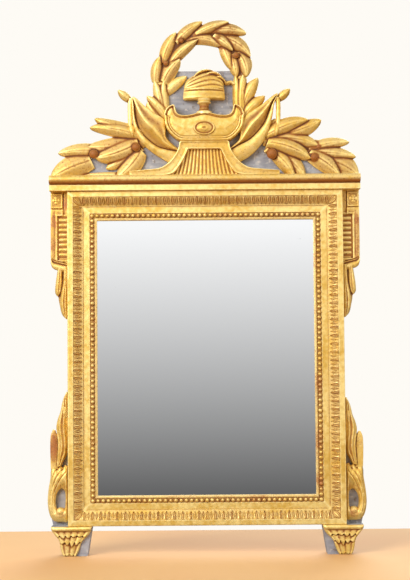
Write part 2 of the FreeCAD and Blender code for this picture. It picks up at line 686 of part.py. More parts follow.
FLUTE_PANEL_SHARES = [(0.108, 0.167, 0.16, 0.071), (0.225, 0)]
FLUTE_FOOT_SHARE = 0.018
FLUTE_HEAD_SHARE = 0.15
flute_panel = doc.addObject("PartDesign::Body", "pedestal_flutes")
flute_panel_outline = outline(
    flute_panel, "flute_panel_outline", crest_outline(FLUTE_PANEL_SHARES, "Sizes.joint_gap"),
    offset=f"-{GROUND}")
pad(flute_panel, "flute_panel_pad", flute_panel_outline, "Sizes.flute_panel_relief")
flute_run = "((Sizes.flute_count - 1) * Sizes.flute_pitch)"
flute_outline = outline(
    flute_panel, "flute_outline",
    rectangle(
        f"-{flute_run} / 2 - Sizes.flute_width / 2", f"-{flute_run} / 2 + Sizes.flute_width / 2",
        crest_z(FLUTE_FOOT_SHARE), crest_z(FLUTE_HEAD_SHARE)),
    offset=f"-{GROUND} + Sizes.flute_panel_relief")
flute = pocket(flute_panel, "flute", flute_outline, "Sizes.flute_depth")
flutes = flute_panel.newObject("PartDesign::LinearPattern", "flutes")
flutes.Originals = [flute]
flutes.Direction = (flute_outline, ["H_Axis"])
flutes.setExpression("Length", flute_run)
flutes.setExpression("Occurrences", "Sizes.flute_count")
flute_panel.Tip = flutes
keep(flute_panel, "pedestal_flutes")

# The boat-shaped bowl with a raised border, its oval boss, stem, lid and flames.

BOWL_SHARES = [
    (0.045, 0.389, 0.082, 0.379), (0.121, 0.376, 0.155, 0.379), (0.183, 0.397), (0.203, 0.445, 0.243, 0.428),
    (0.257, 0.376, 0.235, 0.288), (0.153, PEDESTAL_TOP_SHARE)]
BOWL_PANEL_SHARES = [(0.11, 0.355), (0.178, 0.372), (0.228, 0.37, 0.208, 0.305), (0.14, 0.24)]
BOWL_RIM_SHARE = 0.389
bowl = doc.addObject("PartDesign::Body", "bowl")
bowl_outline = outline(bowl, "bowl_outline", crest_outline(BOWL_SHARES), offset=f"-{GROUND}")
pad(bowl, "bowl_pad", bowl_outline, "Sizes.bowl_relief")
bowl_panel_outline = outline(
    bowl, "bowl_panel_outline", crest_outline(BOWL_PANEL_SHARES, "Sizes.bowl_rim / 4"),
    offset=f"-{GROUND} + Sizes.bowl_relief")
pocket(bowl, "bowl_panel", bowl_panel_outline, "Sizes.bowl_sinking")
keep(bowl, "bowl")

MEDALLION_LEVEL_SHARE = 0.297
medallion = doc.addObject("Part::Ellipsoid", "bowl_medallion")
medallion.setExpression("Radius1", "Sizes.medallion_height / 2")
medallion.setExpression("Radius2", "Sizes.medallion_width / 2")
medallion.setExpression("Radius3", "Sizes.medallion_relief")
medallion.Angle3 = 180
medallion.Placement.Rotation = FreeCAD.Rotation(UP, 180)
medallion.setExpression("Placement.Base.y", f"{GROUND} - Sizes.bowl_relief + Sizes.bowl_sinking")
medallion.setExpression("Placement.Base.z", crest_z(MEDALLION_LEVEL_SHARE))
keep(medallion, "bowl_medallion")

LID_FOOT_SHARE = 0.488
stem = doc.addObject("PartDesign::Body", "lid_stem")
stem_height = f"(Sizes.crest_height * ({LID_FOOT_SHARE} - {BOWL_RIM_SHARE}))"
STEM_WAIST_SHARE = 0.45
STEM_FOOT_SHARE = 0.2
STEM_HEAD_SHARE = 0.8
stem_profile = outline(stem, "stem_profile", [
    ("0", "0"),
    ("Sizes.stem_foot_radius", "0"),
    ("Sizes.stem_foot_radius", f"{stem_height} * {STEM_FOOT_SHARE}",
     "Sizes.stem_waist_radius", f"{stem_height} * {STEM_WAIST_SHARE}"),
    ("Sizes.stem_top_radius", f"{stem_height} * {STEM_HEAD_SHARE}"),
    ("Sizes.stem_top_radius", stem_height),
    ("0", stem_height)])
stem_turning = stem.newObject("PartDesign::Revolution", "stem_turning")
stem_turning.Profile = stem_profile
stem_turning.ReferenceAxis = (stem_profile, ["V_Axis"])
stem_turning.Angle = 360
stem.setExpression("Placement.Base.y", f"{GROUND} - Sizes.stem_foot_radius")
stem.setExpression("Placement.Base.z", crest_z(BOWL_RIM_SHARE))
keep(stem, "lid_stem")


def half_round(width, relief):
    """A flat back on the crest's ground and a bowed front, seen from above."""
    return [
        (f"-{width} / 2", GROUND),
        (f"{width} / 2", GROUND, "0", f"{GROUND} - {relief}")]


lid = doc.addObject("PartDesign::Body", "lid")
lid_plan = outline(
    lid, "lid_plan", half_round("Sizes.lid_width", "Sizes.lid_relief"), "XY_Plane", crest_z(LID_FOOT_SHARE))
pad(lid, "lid_drum", lid_plan, "Sizes.lid_height")
keep(lid, "lid")

# The carved leaves, cut as pointed ovals with a rib.


def crest_point(across, up, depth):
    return FreeCAD.Vector(number(crest_x(across)), depth, number(crest_z(up)))


EAVE_SHARE = 0.45


def leaf(base, tip, width, height, edge, end):
    """A pointed oval from base to tip, ridged along its rib, on a ground at the base's depth."""
    length = (tip - base).Length
    half = width / 2
    root, point = FreeCAD.Vector(0, 0, 0), FreeCAD.Vector(length, 0, 0)
    middle = length * EAVE_SHARE
    sides = [
        Part.Arc(root, FreeCAD.Vector(middle, half, 0), point).toShape(),
        Part.Arc(point, FreeCAD.Vector(middle, -half, 0), root).toShape()]
    plan = Part.Face(Part.Wire(sides)).extrude(UP * height)
    section = Part.makePolygon([
        FreeCAD.Vector(0, -width, 0), FreeCAD.Vector(0, width, 0),
        FreeCAD.Vector(0, half, edge), FreeCAD.Vector(0, 0, height),
        FreeCAD.Vector(0, -half, edge), FreeCAD.Vector(0, -width, 0)])
    ridge = Part.Face(section).extrude(point)
    back = Part.Arc(
        FreeCAD.Vector(0, -width, edge), FreeCAD.Vector(middle, -width, height),
        FreeCAD.Vector(length, -width, end)).toShape()
    foot = Part.makePolygon([
        FreeCAD.Vector(length, -width, end), FreeCAD.Vector(length, -width, 0),
        FreeCAD.Vector(0, -width, 0), FreeCAD.Vector(0, -width, edge)])
    bow = Part.Face(Part.Wire([back] + foot.Edges)).extrude(FreeCAD.Vector(0, 2 * width, 0))
    shape = plan.common(ridge).common(bow)
    along = (tip - base).normalize()
    shape.Placement = FreeCAD.Placement(
        base, FreeCAD.Rotation(along, FRONT.cross(along), FRONT, "XZY"))
    return shape


def laurel(shares, depth, height, edge, step=0):
    """Laurel leaves on the crest, each from shares of its base, tip, width and height, and a step
    in front of the leaf before it."""
    half = number(crest_x(1))
    leaves = []
    for place, row in enumerate(shares):
        level = depth - step * place
        leaves.append(leaf(
            crest_point(row[0], row[1], level), crest_point(row[2], row[3], level), half * row[4],
            height * row[5], edge * row[5], size_of.leaf_tip * row[5]))
    return leaves


def berries(shares, depth):
    """Round berries in front of a depth, each from shares of its place and its radius."""
    half = number(crest_x(1))
    return [
        Part.makeSphere(half * radius, crest_point(across, up, depth - half * radius))
        for across, up, radius in shares]


def branch(shares, depth):
    """A stem of a branch through places on the crest, square in section."""
    places = [crest_point(across, up, depth) for across, up in shares]
    runs = [(finish - start).normalize() for start, finish in zip(places, places[1:])]
    bends = [(before + after).normalize() for before, after in zip(runs, runs[1:])]
    sides = [FRONT.cross(along) * (size_of.branch_width / 2) for along in runs[:1] + bends + runs[-1:]]
    near = [place - side for place, side in zip(places, sides)]
    far = [place + side for place, side in zip(places, sides)]
    plan = Part.makePolygon(near + far[::-1] + near[:1])
    return [Part.Face(plan).extrude(FRONT * size_of.branch_height)]


def footprint(sketch, depth):
    """The room that an outline takes up in front of the crest's ground."""
    face = Part.makeFace(sketch.Shape, "Part::FaceMakerBullseye")
    return face.extrude(FRONT * depth)


def carve(shapes, clear_of):
    """Joins shapes to one piece of carving and cuts it back to the pieces in front of it."""
    piece = shapes[0]
    for shape in shapes[1:]:
        piece = piece.fuse(shape)
    for other in clear_of:
        piece = piece.cut(other)
    return max(piece.Solids, key=lambda part: part.Volume)


doc.recompute()
ground = number(GROUND)
clear_depth = size_of.cornice_depth
bowl_room = footprint(bowl_outline, clear_depth)
pedestal_room = footprint(pedestal_outline, clear_depth)
flute_room = footprint(flute_panel_outline, clear_depth)
lid_room = Part.Face(Part.makePolygon([
    FreeCAD.Vector(across * size_of.lid_width / 2, ground, number(crest_z(LID_FOOT_SHARE)) + up)
    for across, up in (
        (-1, 0), (1, 0), (1, size_of.lid_height), (-1, size_of.lid_height), (-1, 0))])).extrude(
            FRONT * clear_depth)

FLAME_SHARES = [
    (-0.115, 0.552, -0.03, 0.655, 0.075, 0.8), (-0.06, 0.552, 0.03, 0.665, 0.085, 1),
    (0.0, 0.552, 0.075, 0.645, 0.085, 0.95), (0.055, 0.552, 0.115, 0.605, 0.07, 0.8),
    (0.04, 0.585, 0.2, 0.572, 0.035, 0.6)]
flames = laurel(FLAME_SHARES, ground, size_of.flame_relief, size_of.leaf_edge)
FLAME_BED_SHARES = [(-0.125, 0.545), (-0.09, 0.60), (0, 0.64), (0.085, 0.60), (0.12, 0.545)]
bed = [crest_point(across, up, ground) for across, up in FLAME_BED_SHARES]
bed_face = Part.Face(Part.Wire([
    Part.Arc(bed[0], bed[1], bed[2]).toShape(), Part.Arc(bed[2], bed[3], bed[4]).toShape(),
    Part.LineSegment(bed[4], bed[0]).toShape()]))
flames.append(bed_face.extrude(FRONT * size_of.leaf_height))
keep(solid("flame", carve(flames, [lid_room])), "flame")

# The flags: a rounded cloth with a rolled hem, a pointed head to the pole and a hanging tassel.

FLAG_SHARES = {
    "head": (0.48, 0.49), "upper": (0.37, 0.41), "shoulder": (0.262, 0.31), "inner": (0.246, 0.2),
    "tail": (0.15, 0.15), "end": (0.2, 0.088), "sweep": (0.34, 0.133), "elbow": (0.452, 0.228),
    "outer": (0.488, 0.36), "hem_end": (0.178, 0.115), "hem_sweep": (0.32, 0.168),
    "hem_elbow": (0.415, 0.25), "hem_outer": (0.456, 0.37)}


def flag(side):
    place = {name: crest_point(side * share[0], share[1], ground) for name, share in FLAG_SHARES.items()}
    hem = [
        Part.Arc(place["end"], place["sweep"], place["elbow"]).toShape(),
        Part.Arc(place["elbow"], place["outer"], place["head"]).toShape()]
    edges = hem + [
        Part.Arc(place["head"], place["upper"], place["shoulder"]).toShape(),
        Part.LineSegment(place["shoulder"], place["inner"]).toShape(),
        Part.LineSegment(place["inner"], place["tail"]).toShape(),
        Part.LineSegment(place["tail"], place["end"]).toShape()]
    face = Part.Face(Part.Wire(edges))
    room = face.extrude(FRONT * clear_depth)
    along = place["head"] - place["end"]
    sunk = FRONT * (size_of.flag_relief - size_of.flag_crown)
    middle = (place["elbow"] + place["inner"]) * 0.5
    crown = Part.makeCylinder(
        size_of.flag_crown, 3 * along.Length, middle + sunk - along * 1.5, along)
    cloth = face.extrude(FRONT * size_of.flag_relief).common(crown)
    hem_edges = hem + [
        Part.Arc(place["head"], place["hem_outer"], place["hem_elbow"]).toShape(),
        Part.Arc(place["hem_elbow"], place["hem_sweep"], place["hem_end"]).toShape(),
        Part.LineSegment(place["hem_end"], place["end"]).toShape()]
    rolled = Part.Face(Part.Wire(hem_edges)).extrude(FRONT * size_of.hem_relief)
    return [cloth, rolled], room


def flag_pole(side):
    head = crest_point(side * FLAG_SHARES["head"][0], FLAG_SHARES["head"][1], ground)
    half = number(crest_x(1))
    POLE_SHARES = {"tip": (0.555, 0.546), "tassel": (0.489, 0.315)}
    tip = crest_point(side * POLE_SHARES["tip"][0], POLE_SHARES["tip"][1], ground)
    tassel = crest_point(side * POLE_SHARES["tassel"][0], POLE_SHARES["tassel"][1], ground)
    WIDTH_SHARES = (0.05, 0.03)
    knot = Part.makeSphere(size_of.pole_knot_radius, head, FRONT, 0, 90, 360)
    return [
        knot,
        leaf(head, tip, half * WIDTH_SHARES[0], size_of.leaf_height, size_of.leaf_edge, size_of.leaf_tip),
        leaf(head, tassel, half * WIDTH_SHARES[1], size_of.leaf_height, size_of.leaf_edge, size_of.leaf_tip)]


flag_rooms = {}
for side, name in ((-1, "left"), (1, "right")):
    cloth, room = flag(side)
    keep(solid("flag_" + name, carve(cloth, [bowl_room, pedestal_room])), "flag_" + name)
    flag_rooms[name] = room
    keep(solid("flag_pole_" + name, carve(flag_pole(side), [room])), "flag_pole_" + name)

# The laurel sprays that lie along the cornice.

LEFT_SPRAY_SHARES = [
    (-0.442, 0.318, -0.704, 0.365, 0.065, 0.85), (-0.436, 0.267, -0.734, 0.314, 0.071, 0.95),
    (-0.436, 0.235, -0.747, 0.199, 0.078, 1), (-0.462, 0.184, -0.696, 0.113, 0.078, 0.9),
    (-0.70, 0.178, -0.942, 0.153, 0.071, 0.85), (-0.70, 0.129, -0.987, 0.04, 0.078, 1),
    (-0.437, 0.165, -0.625, 0.062, 0.065, 0.8), (-0.43, 0.133, -0.573, 0.02, 0.065, 0.9)]
LEFT_BERRY_SHARES = [(-0.438, 0.184, 0.027), (-0.712, 0.135, 0.025)]
LEFT_BRANCH_SHARES = [(-0.40, 0.16), (-0.455, 0.20), (-0.60, 0.172), (-0.78, 0.125)]
LEFT_BRANCH_TWIG_SHARES = [(-0.455, 0.17), (-0.452, 0.33)]
LEFT_BRANCH_FOOT_SHARES = [(-0.455, 0.19), (-0.455, 0.10)]
RIGHT_SPRAY_SHARES = [
    (0.45, 0.273, 0.666, 0.351, 0.065, 0.85), (0.46, 0.245, 0.751, 0.35, 0.074, 1),
    (0.386, 0.21, 0.736, 0.182, 0.071, 0.9), (0.431, 0.19, 0.689, 0.105, 0.078, 0.96),
    (0.70, 0.165, 0.934, 0.215, 0.058, 0.85), (0.70, 0.132, 0.974, 0.116, 0.058, 0.8),
    (0.69, 0.12, 0.882, 0.03, 0.084, 1), (0.80, 0.12, 0.986, 0.03, 0.062, 0.88),
    (0.45, 0.136, 0.565, 0.02, 0.065, 0.9), (0.53, 0.125, 0.64, 0.02, 0.065, 0.8)]
RIGHT_BERRY_SHARES = [(0.43, 0.13, 0.034), (0.72, 0.12, 0.029)]
RIGHT_BRANCH_SHARES = [(0.39, 0.15), (0.46, 0.192), (0.60, 0.163), (0.80, 0.127)]
RIGHT_BRANCH_TWIG_SHARES = [(0.462, 0.165), (0.47, 0.285)]
RIGHT_BRANCH_FOOT_SHARES = [(0.455, 0.17), (0.47, 0.10)]
left_spray = laurel(LEFT_SPRAY_SHARES, ground, size_of.leaf_height, size_of.leaf_edge)
left_spray += berries(LEFT_BERRY_SHARES, ground - size_of.berry_lift)
left_spray += branch(LEFT_BRANCH_SHARES, ground) + branch(LEFT_BRANCH_TWIG_SHARES, ground)
left_spray += branch(LEFT_BRANCH_FOOT_SHARES, ground)
right_spray = laurel(RIGHT_SPRAY_SHARES, ground, size_of.leaf_height, size_of.leaf_edge)
right_spray += berries(RIGHT_BERRY_SHARES, ground - size_of.berry_lift)
right_spray += branch(RIGHT_BRANCH_SHARES, ground) + branch(RIGHT_BRANCH_TWIG_SHARES, ground)
right_spray += branch(RIGHT_BRANCH_FOOT_SHARES, ground)
cornice_room = Part.makeBox(
    size_of.cornice_width, 2 * clear_depth, size_of.cornice_height,
    FreeCAD.Vector(-size_of.cornice_width / 2, -clear_depth, number(FRAME_TOP)))
for side, name, spray in ((-1, "left", left_spray), (1, "right", right_spray)):
    pole_room = carve(flag_pole(side), [])
    piece = carve(spray, [flag_rooms[name], pole_room, pedestal_room, cornice_room])
    keep(solid("spray_" + name, piece), "spray_" + name)

# The laurel wreath: an arch of leaves, jointed to two stems that end behind the bowl.

ARCH_JOINT_SHARES = (0.597, 0.62)
ARCH_SHARES = {
    "left": (-0.262, 0.597), "left_side": (-0.218, 0.79), "top": (0.0, 0.9), "right_side": (0.196, 0.79),
    "right": (0.25, 0.62)}
ARCH_LEAF_SHARES = [
    (-0.30, 0.602, -0.258, 0.765, 0.058, 0.9), (-0.264, 0.745, -0.179, 0.918, 0.058, 0.95),
    (-0.18, 0.88, -0.009, 1, 0.066, 1), (-0.03, 0.925, 0.163, 0.993, 0.063, 0.92),
    (0.075, 0.932, 0.273, 0.915, 0.063, 0.98), (0.166, 0.885, 0.301, 0.763, 0.066, 0.95),
    (0.223, 0.78, 0.296, 0.63, 0.072, 1), (-0.236, 0.608, -0.164, 0.751, 0.062, 0.88),
    (-0.206, 0.745, -0.043, 0.862, 0.058, 0.9), (-0.075, 0.879, 0.107, 0.845, 0.058, 0.85),
    (0.10, 0.845, 0.177, 0.703, 0.064, 0.91), (0.177, 0.75, 0.224, 0.636, 0.056, 0.86)]
ARCH_BERRY_SHARES = [
    (-0.245, 0.713, 0.018), (-0.143, 0.863, 0.018), (0.101, 0.881, 0.018), (0.21, 0.771, 0.018)]


def arch_band(width_sign):
    """One edge of the band under the leaves of the arch."""
    places = {name: crest_point(share[0], share[1], ground) for name, share in ARCH_SHARES.items()}
    middle = (places["left"] + places["right"]) * 0.5
    reach = width_sign * size_of.wreath_core_width / 2
    moved = {}
    for name, place in places.items():
        away = (place - middle).normalize() * reach
        if name in ("left", "right"):
            away = FreeCAD.Vector(math.copysign(1, place.x) * reach, 0, 0)
        moved[name] = place + away
    return moved


outer, inner = arch_band(1), arch_band(-1)
arch_edges = [
    Part.Arc(outer["left"], outer["left_side"], outer["top"]).toShape(),
    Part.Arc(outer["top"], outer["right_side"], outer["right"]).toShape(),
    Part.LineSegment(outer["right"], inner["right"]).toShape(),
    Part.Arc(inner["right"], inner["right_side"], inner["top"]).toShape(),
    Part.Arc(inner["top"], inner["left_side"], inner["left"]).toShape(),
    Part.LineSegment(inner["left"], outer["left"]).toShape()]
arch = [Part.Face(Part.Wire(arch_edges)).extrude(FRONT * size_of.wreath_core_height)]
arch += laurel(
    ARCH_LEAF_SHARES, ground - size_of.wreath_leaf_lift, size_of.wreath_leaf_height, size_of.wreath_leaf_edge,
    size_of.wreath_leaf_step)
arch += berries(ARCH_BERRY_SHARES, ground - size_of.wreath_core_height / 2)
below_joints = []
for side, share in zip((-1, 1), ARCH_JOINT_SHARES):
    below_joints.append(Part.makeBox(
        size_of.cornice_width, 2 * clear_depth, size_of.crest_height,
        FreeCAD.Vector(0 if side > 0 else -size_of.cornice_width, -clear_depth,
                       number(crest_z(share)) - size_of.crest_height)))
wreath_pins = []
wreath_pin_holes = []
for name, share in zip(("left", "right"), ARCH_JOINT_SHARES):
    place = (
        crest_x(ARCH_SHARES[name][0]), f"{GROUND} - Sizes.wreath_core_height / 2",
        f"{crest_z(share)} - Sizes.wreath_dowel_length / 2")
    wreath_pins.append(peg(
        "wreath_pin_" + name, "Sizes.wreath_dowel_radius", "Sizes.wreath_dowel_length", place, UP))
    wreath_pin_holes.append(Part.makeCylinder(
        size_of.wreath_dowel_radius + size_of.joint_gap, size_of.wreath_dowel_length + size_of.joint_gap,
        FreeCAD.Vector(*[number(term) for term in place]), UP))
keep(compound("wreath_dowels", wreath_pins), "wreath_dowels")
keep(solid("wreath_arch", carve(arch, below_joints + wreath_pin_holes)), "wreath_arch")

STEM_SHARES = {
    "left": [(-0.262, 0.597), (-0.255, 0.40)],
    "right": [(0.25, 0.62), (0.25, 0.40)]}
STEM_LEAF_SHARES = {
    "left": [
        (-0.253, 0.438, -0.294, 0.596, 0.055, 1), (-0.253, 0.44, -0.228, 0.596, 0.052, 0.9),
        (-0.235, 0.545, -0.119, 0.632, 0.048, 0.8), (-0.253, 0.438, -0.35, 0.506, 0.052, 0.85)],
    "right": [
        (0.253, 0.44, 0.216, 0.618, 0.05, 0.9), (0.253, 0.455, 0.345, 0.612, 0.06, 1),
        (0.239, 0.428, 0.386, 0.497, 0.055, 0.85), (0.246, 0.45, 0.272, 0.618, 0.055, 0.95)]}
for place, name in enumerate(("left", "right")):
    above = below_joints[place].translated(UP * size_of.crest_height)
    core_half = FreeCAD.Vector(size_of.wreath_core_width / 2, 0, 0)
    foot_half = core_half * 0.5
    head = crest_point(*STEM_SHARES[name][0], ground)
    foot = crest_point(*STEM_SHARES[name][1], ground)
    core = Part.Face(Part.makePolygon([
        head - core_half, head + core_half, foot + foot_half, foot - foot_half, head - core_half]))
    shapes = [core.extrude(FRONT * size_of.wreath_core_height)]
    shapes += laurel(
        STEM_LEAF_SHARES[name], ground, size_of.wreath_leaf_height, size_of.wreath_leaf_edge)
    piece = carve(shapes, [above, bowl_room, flag_rooms[name], lid_room, wreath_pin_holes[place]])
    keep(solid("wreath_stem_" + name, piece), "wreath_stem_" + name)

# The ears under the ends of the cornice: a square block, a sunk panel of flutes and a rounded foot.

ear = doc.addObject("PartDesign::Body", "ear_right_carving")
ear_side = f"({FRAME_SIDE} + Sizes.ear_width)"
ear_foot = f"({FRAME_TOP} - Sizes.ear_height)"
ear_outline = outline(ear, "ear_outline", [
    (FRAME_SIDE, FRAME_TOP),
    (FRAME_SIDE, ear_foot),
    (f"{ear_side} - Sizes.ear_corner", ear_foot,
     f"{ear_side} - Sizes.ear_corner * (1 - {BULGE_SHARE})",
     f"{ear_foot} + Sizes.ear_corner * (1 - {BULGE_SHARE})"),
    (ear_side, f"{ear_foot} + Sizes.ear_corner"),
    (ear_side, FRAME_TOP)], offset=f"-{BACK}")
pad(ear, "ear_pad", ear_outline, "Sizes.ear_depth")
ear_face = f"-{BACK} + Sizes.ear_depth"
block_outline = outline(ear, "ear_block_outline", rectangle(
    f"{ear_side} - Sizes.ear_block_width", ear_side,
    f"{FRAME_TOP} - Sizes.ear_block_top - Sizes.ear_block_height",
    f"{FRAME_TOP} - Sizes.ear_block_top"), offset=ear_face)
pad(ear, "ear_block", block_outline, "Sizes.ear_block_relief")
panel_left = f"({FRAME_SIDE} + Sizes.ear_panel_inset)"
panel_top = f"({FRAME_TOP} - Sizes.ear_panel_top)"
panel_outline = outline(ear, "ear_panel_outline", rectangle(
    panel_left, f"{panel_left} + Sizes.ear_panel_width", f"{panel_top} - Sizes.ear_panel_height",
    panel_top), offset=ear_face)
pocket(ear, "ear_panel", panel_outline, "Sizes.ear_panel_depth")
slot_run = "((Sizes.ear_slot_count - 1) * Sizes.ear_slot_pitch)"
slot_middle = f"({panel_top} - Sizes.ear_panel_height / 2 - {slot_run} / 2)"
SLOT_MARGIN_SHARE = 0.12
slot_outline = outline(ear, "ear_slot_outline", rectangle(
    f"{panel_left} + Sizes.ear_panel_width * {SLOT_MARGIN_SHARE}",
    f"{panel_left} + Sizes.ear_panel_width * (1 - {SLOT_MARGIN_SHARE})",
    f"{slot_middle} - Sizes.ear_slot_height / 2", f"{slot_middle} + Sizes.ear_slot_height / 2"),
    offset=f"{ear_face} - Sizes.ear_panel_depth")
slot = pocket(ear, "ear_slot", slot_outline, "Sizes.ear_slot_depth")
slots = ear.newObject("PartDesign::LinearPattern", "ear_slots")
slots.Originals = [slot]
slots.Direction = (slot_outline, ["V_Axis"])
slots.setExpression("Length", slot_run)
slots.setExpression("Occurrences", "Sizes.ear_slot_count")
ear.Tip = slots
ear_sockets = side_sockets("ear_socket", right_dowel_places[:len(EAR_DOWEL_SHARES)])
ear_right = keep(cut("ear_right", ear, ear_sockets), "ear_right")
mirrored(ear_right, "ear_left")

# The leaf drops under the ears: two hanging leaves on a core against the stile.

doc.recompute()
back = number(BACK)
stile_room = Part.makeBox(
    size_of.frame_width, 2 * clear_depth, 2 * size_of.frame_height,
    FreeCAD.Vector(-size_of.frame_width / 2, -clear_depth, 0))
HUSK_LEAF_SHARES = [(0.35, 0.0, 0.2, 1, 0.62), (0.62, 0.0, 0.92, 0.62, 0.6), (0.3, 0.35, 0.75, 0.8, 0.4)]
HUSK_CORE_SHARES = [(0, 0), (0.95, 0), (0.6, 0.45), (0.0, 0.8)]


def husk_point(across, down):
    return FreeCAD.Vector(
        number(FRAME_SIDE) + size_of.husk_width * across, back - size_of.husk_depth,
        number(ear_foot) - size_of.husk_length * down)


husk_core = [husk_point(*share) for share in HUSK_CORE_SHARES]
husk = [Part.Face(Part.makePolygon(husk_core + husk_core[:1])).extrude(-FRONT * size_of.husk_depth)]
for row in HUSK_LEAF_SHARES:
    husk.append(leaf(
        husk_point(row[0], row[1]), husk_point(row[2], row[3]), size_of.husk_width * row[4],
        size_of.leaf_height, size_of.leaf_edge, size_of.leaf_tip))
ear_room = Part.makeBox(
    2 * size_of.ear_width, 2 * clear_depth, size_of.ear_height,
    FreeCAD.Vector(number(FRAME_SIDE), -clear_depth, number(ear_foot)))
husk_right = keep(solid("husk_right", carve(husk, [stile_room, ear_room])), "husk_right")
mirrored(husk_right, "husk_left")

# The side scrolls: a painted ground, and on it a volute with long leaves that run up the stile.


def scroll_x(share):
    return f"({FRAME_SIDE} + Sizes.scroll_width * {share})"


def scroll_z(share):
    return f"(Sizes.foot_height + Sizes.scroll_height * {share})"


SCROLL_GROUND_SHARES = [(0, 0), (0.76, 0), (0.9, 0.1), (0.88, 0.4), (0.6, 0.68), (0.2, 0.9), (0, 0.9)]
scroll_ground = slabs(
    "scroll_ground", [[(scroll_x(across), scroll_z(up)) for across, up in SCROLL_GROUND_SHARES]],
    SCROLL_GROUND, "Sizes.ground_thickness")
scroll_sockets = side_sockets("scroll_socket", right_dowel_places[len(EAR_DOWEL_SHARES):])
scroll_ground_right = keep(cut("scroll_ground_right", scroll_ground, scroll_sockets), "scroll_ground_right")
mirrored(scroll_ground_right, "scroll_ground_left")


def scroll_point(across, up):
    return FreeCAD.Vector(
        number(scroll_x(across)), number(SCROLL_GROUND), number(scroll_z(up)))


SCROLL_OUTER_SHARES = [(0.03, 0.0), (0.72, 0.0), (1, 0.12), (1, 0.26), (0.86, 0.5), (0.45, 0.56), (0.03, 0.5)]
SCROLL_BEND_SHARES = {1: (0.95, 0.03), 3: (0.96, 0.4)}
SCROLL_EYE_SHARES = {"low": (0.3, 0.185), "outer": (0.54, 0.26), "high": (0.36, 0.335), "inner": (0.16, 0.26)}
SCROLL_LEAF_SHARES = [
    (0.2, 0.42, 0.12, 1, 0.5), (0.45, 0.38, 0.35, 0.9, 0.42), (0.75, 0.36, 0.88, 0.7, 0.4),
    (0.12, 0.3, 0.1, 0.62, 0.36)]
scroll_places = [scroll_point(*share) for share in SCROLL_OUTER_SHARES]
scroll_edges = []
for index, start in enumerate(scroll_places):
    finish = scroll_places[(index + 1) % len(scroll_places)]
    if index in SCROLL_BEND_SHARES:
        scroll_edges.append(Part.Arc(start, scroll_point(*SCROLL_BEND_SHARES[index]), finish).toShape())
    else:
        scroll_edges.append(Part.LineSegment(start, finish).toShape())
eye_places = {name: scroll_point(*share) for name, share in SCROLL_EYE_SHARES.items()}
eye_edges = [
    Part.Arc(eye_places["low"], eye_places["outer"], eye_places["high"]).toShape(),
    Part.Arc(eye_places["high"], eye_places["inner"], eye_places["low"]).toShape()]
volute = Part.Face(Part.Wire(scroll_edges)).cut(Part.Face(Part.Wire(eye_edges)))
scroll = [volute.Faces[0].extrude(FRONT * size_of.scroll_relief)]
for row in SCROLL_LEAF_SHARES:
    scroll.append(leaf(
        scroll_point(row[0], row[1]), scroll_point(row[2], row[3]), size_of.scroll_width * row[4],
        size_of.scroll_relief + size_of.leaf_tip, size_of.scroll_relief / 2, size_of.leaf_tip))
scroll_right = keep(solid("scroll_right", carve(scroll, [stile_room])), "scroll_right")
mirrored(scroll_right, "scroll_left")

# The feet: a painted block and a carved, gilt leaf on its face.

foot = doc.addObject("PartDesign::Body", "foot_right_block")
foot_inner = f"({FRAME_SIDE} - Sizes.foot_inset)"
foot_outline = outline(foot, "foot_outline", [
    (foot_inner, "Sizes.foot_height"),
    (f"{foot_inner} + Sizes.foot_lean", "0"),
    (f"{foot_inner} + Sizes.foot_lean + Sizes.foot_sole_width", "0"),
    (f"{foot_inner} + Sizes.foot_top_width", "Sizes.foot_height")], offset=f"-{BACK}")
pad(foot, "foot_pad", foot_outline, "Sizes.foot_depth")
foot_right = keep(cut(
    "foot_right", foot, foot_sockets("foot_socket", foot_dowel_places[2:])), "foot_right")
mirrored(foot_right, "foot_left")


def foot_x(share):
    return f"({foot_inner} + Sizes.foot_top_width * {share})"


def foot_z(share):
    return f"(Sizes.foot_height * {share})"


FOOT_LEAF_SHARES = [
    (0, 1), (0, 0.88), (0.08, 0.78, 0.2, 0.67), (0.24, 0.46, 0.25, 0.3), (0.31, 0.14, 0.33, 0.05), (0.37, 0),
    (0.59, 0, 0.63, 0.05), (0.66, 0.14, 0.72, 0.3), (0.74, 0.46, 0.78, 0.67), (0.92, 0.78), (1, 0.88), (1, 1)]
foot_leaf = doc.addObject("PartDesign::Body", "foot_leaf_right")
foot_leaf_corners = []
for corner in FOOT_LEAF_SHARES:
    foot_leaf_corners.append(tuple(
        foot_z(share) if place % 2 else foot_x(share) for place, share in enumerate(corner)))
foot_leaf_outline = outline(
    foot_leaf, "foot_leaf_outline", foot_leaf_corners, offset=f"-{BACK} + Sizes.foot_depth")
pad(foot_leaf, "foot_leaf_pad", foot_leaf_outline, "Sizes.foot_leaf_depth")
foot_leaf_right = keep(foot_leaf, "foot_leaf_right")
mirrored(foot_leaf_right, "foot_leaf_left")

# Everything is worked out, looked over and written, a file for each sub-part.

doc.recompute()
for feature in doc.Objects:
    if "Invalid" in feature.State or "Error" in feature.State:
        raise RuntimeError(f"{feature.Label} could not be made: {feature.State}")
os.makedirs("parts", exist_ok=True)
for feature in subparts:
    if feature.Shape.isNull() or not feature.Shape.isValid() or not feature.Shape.Solids:
        raise RuntimeError(f"{feature.Label} has no valid solid")
    feature.Shape.exportStep(f"parts/{feature.Label}.step")
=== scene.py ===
import math

import bmesh
import bpy
import numpy as np
from mathutils import Matrix, Vector


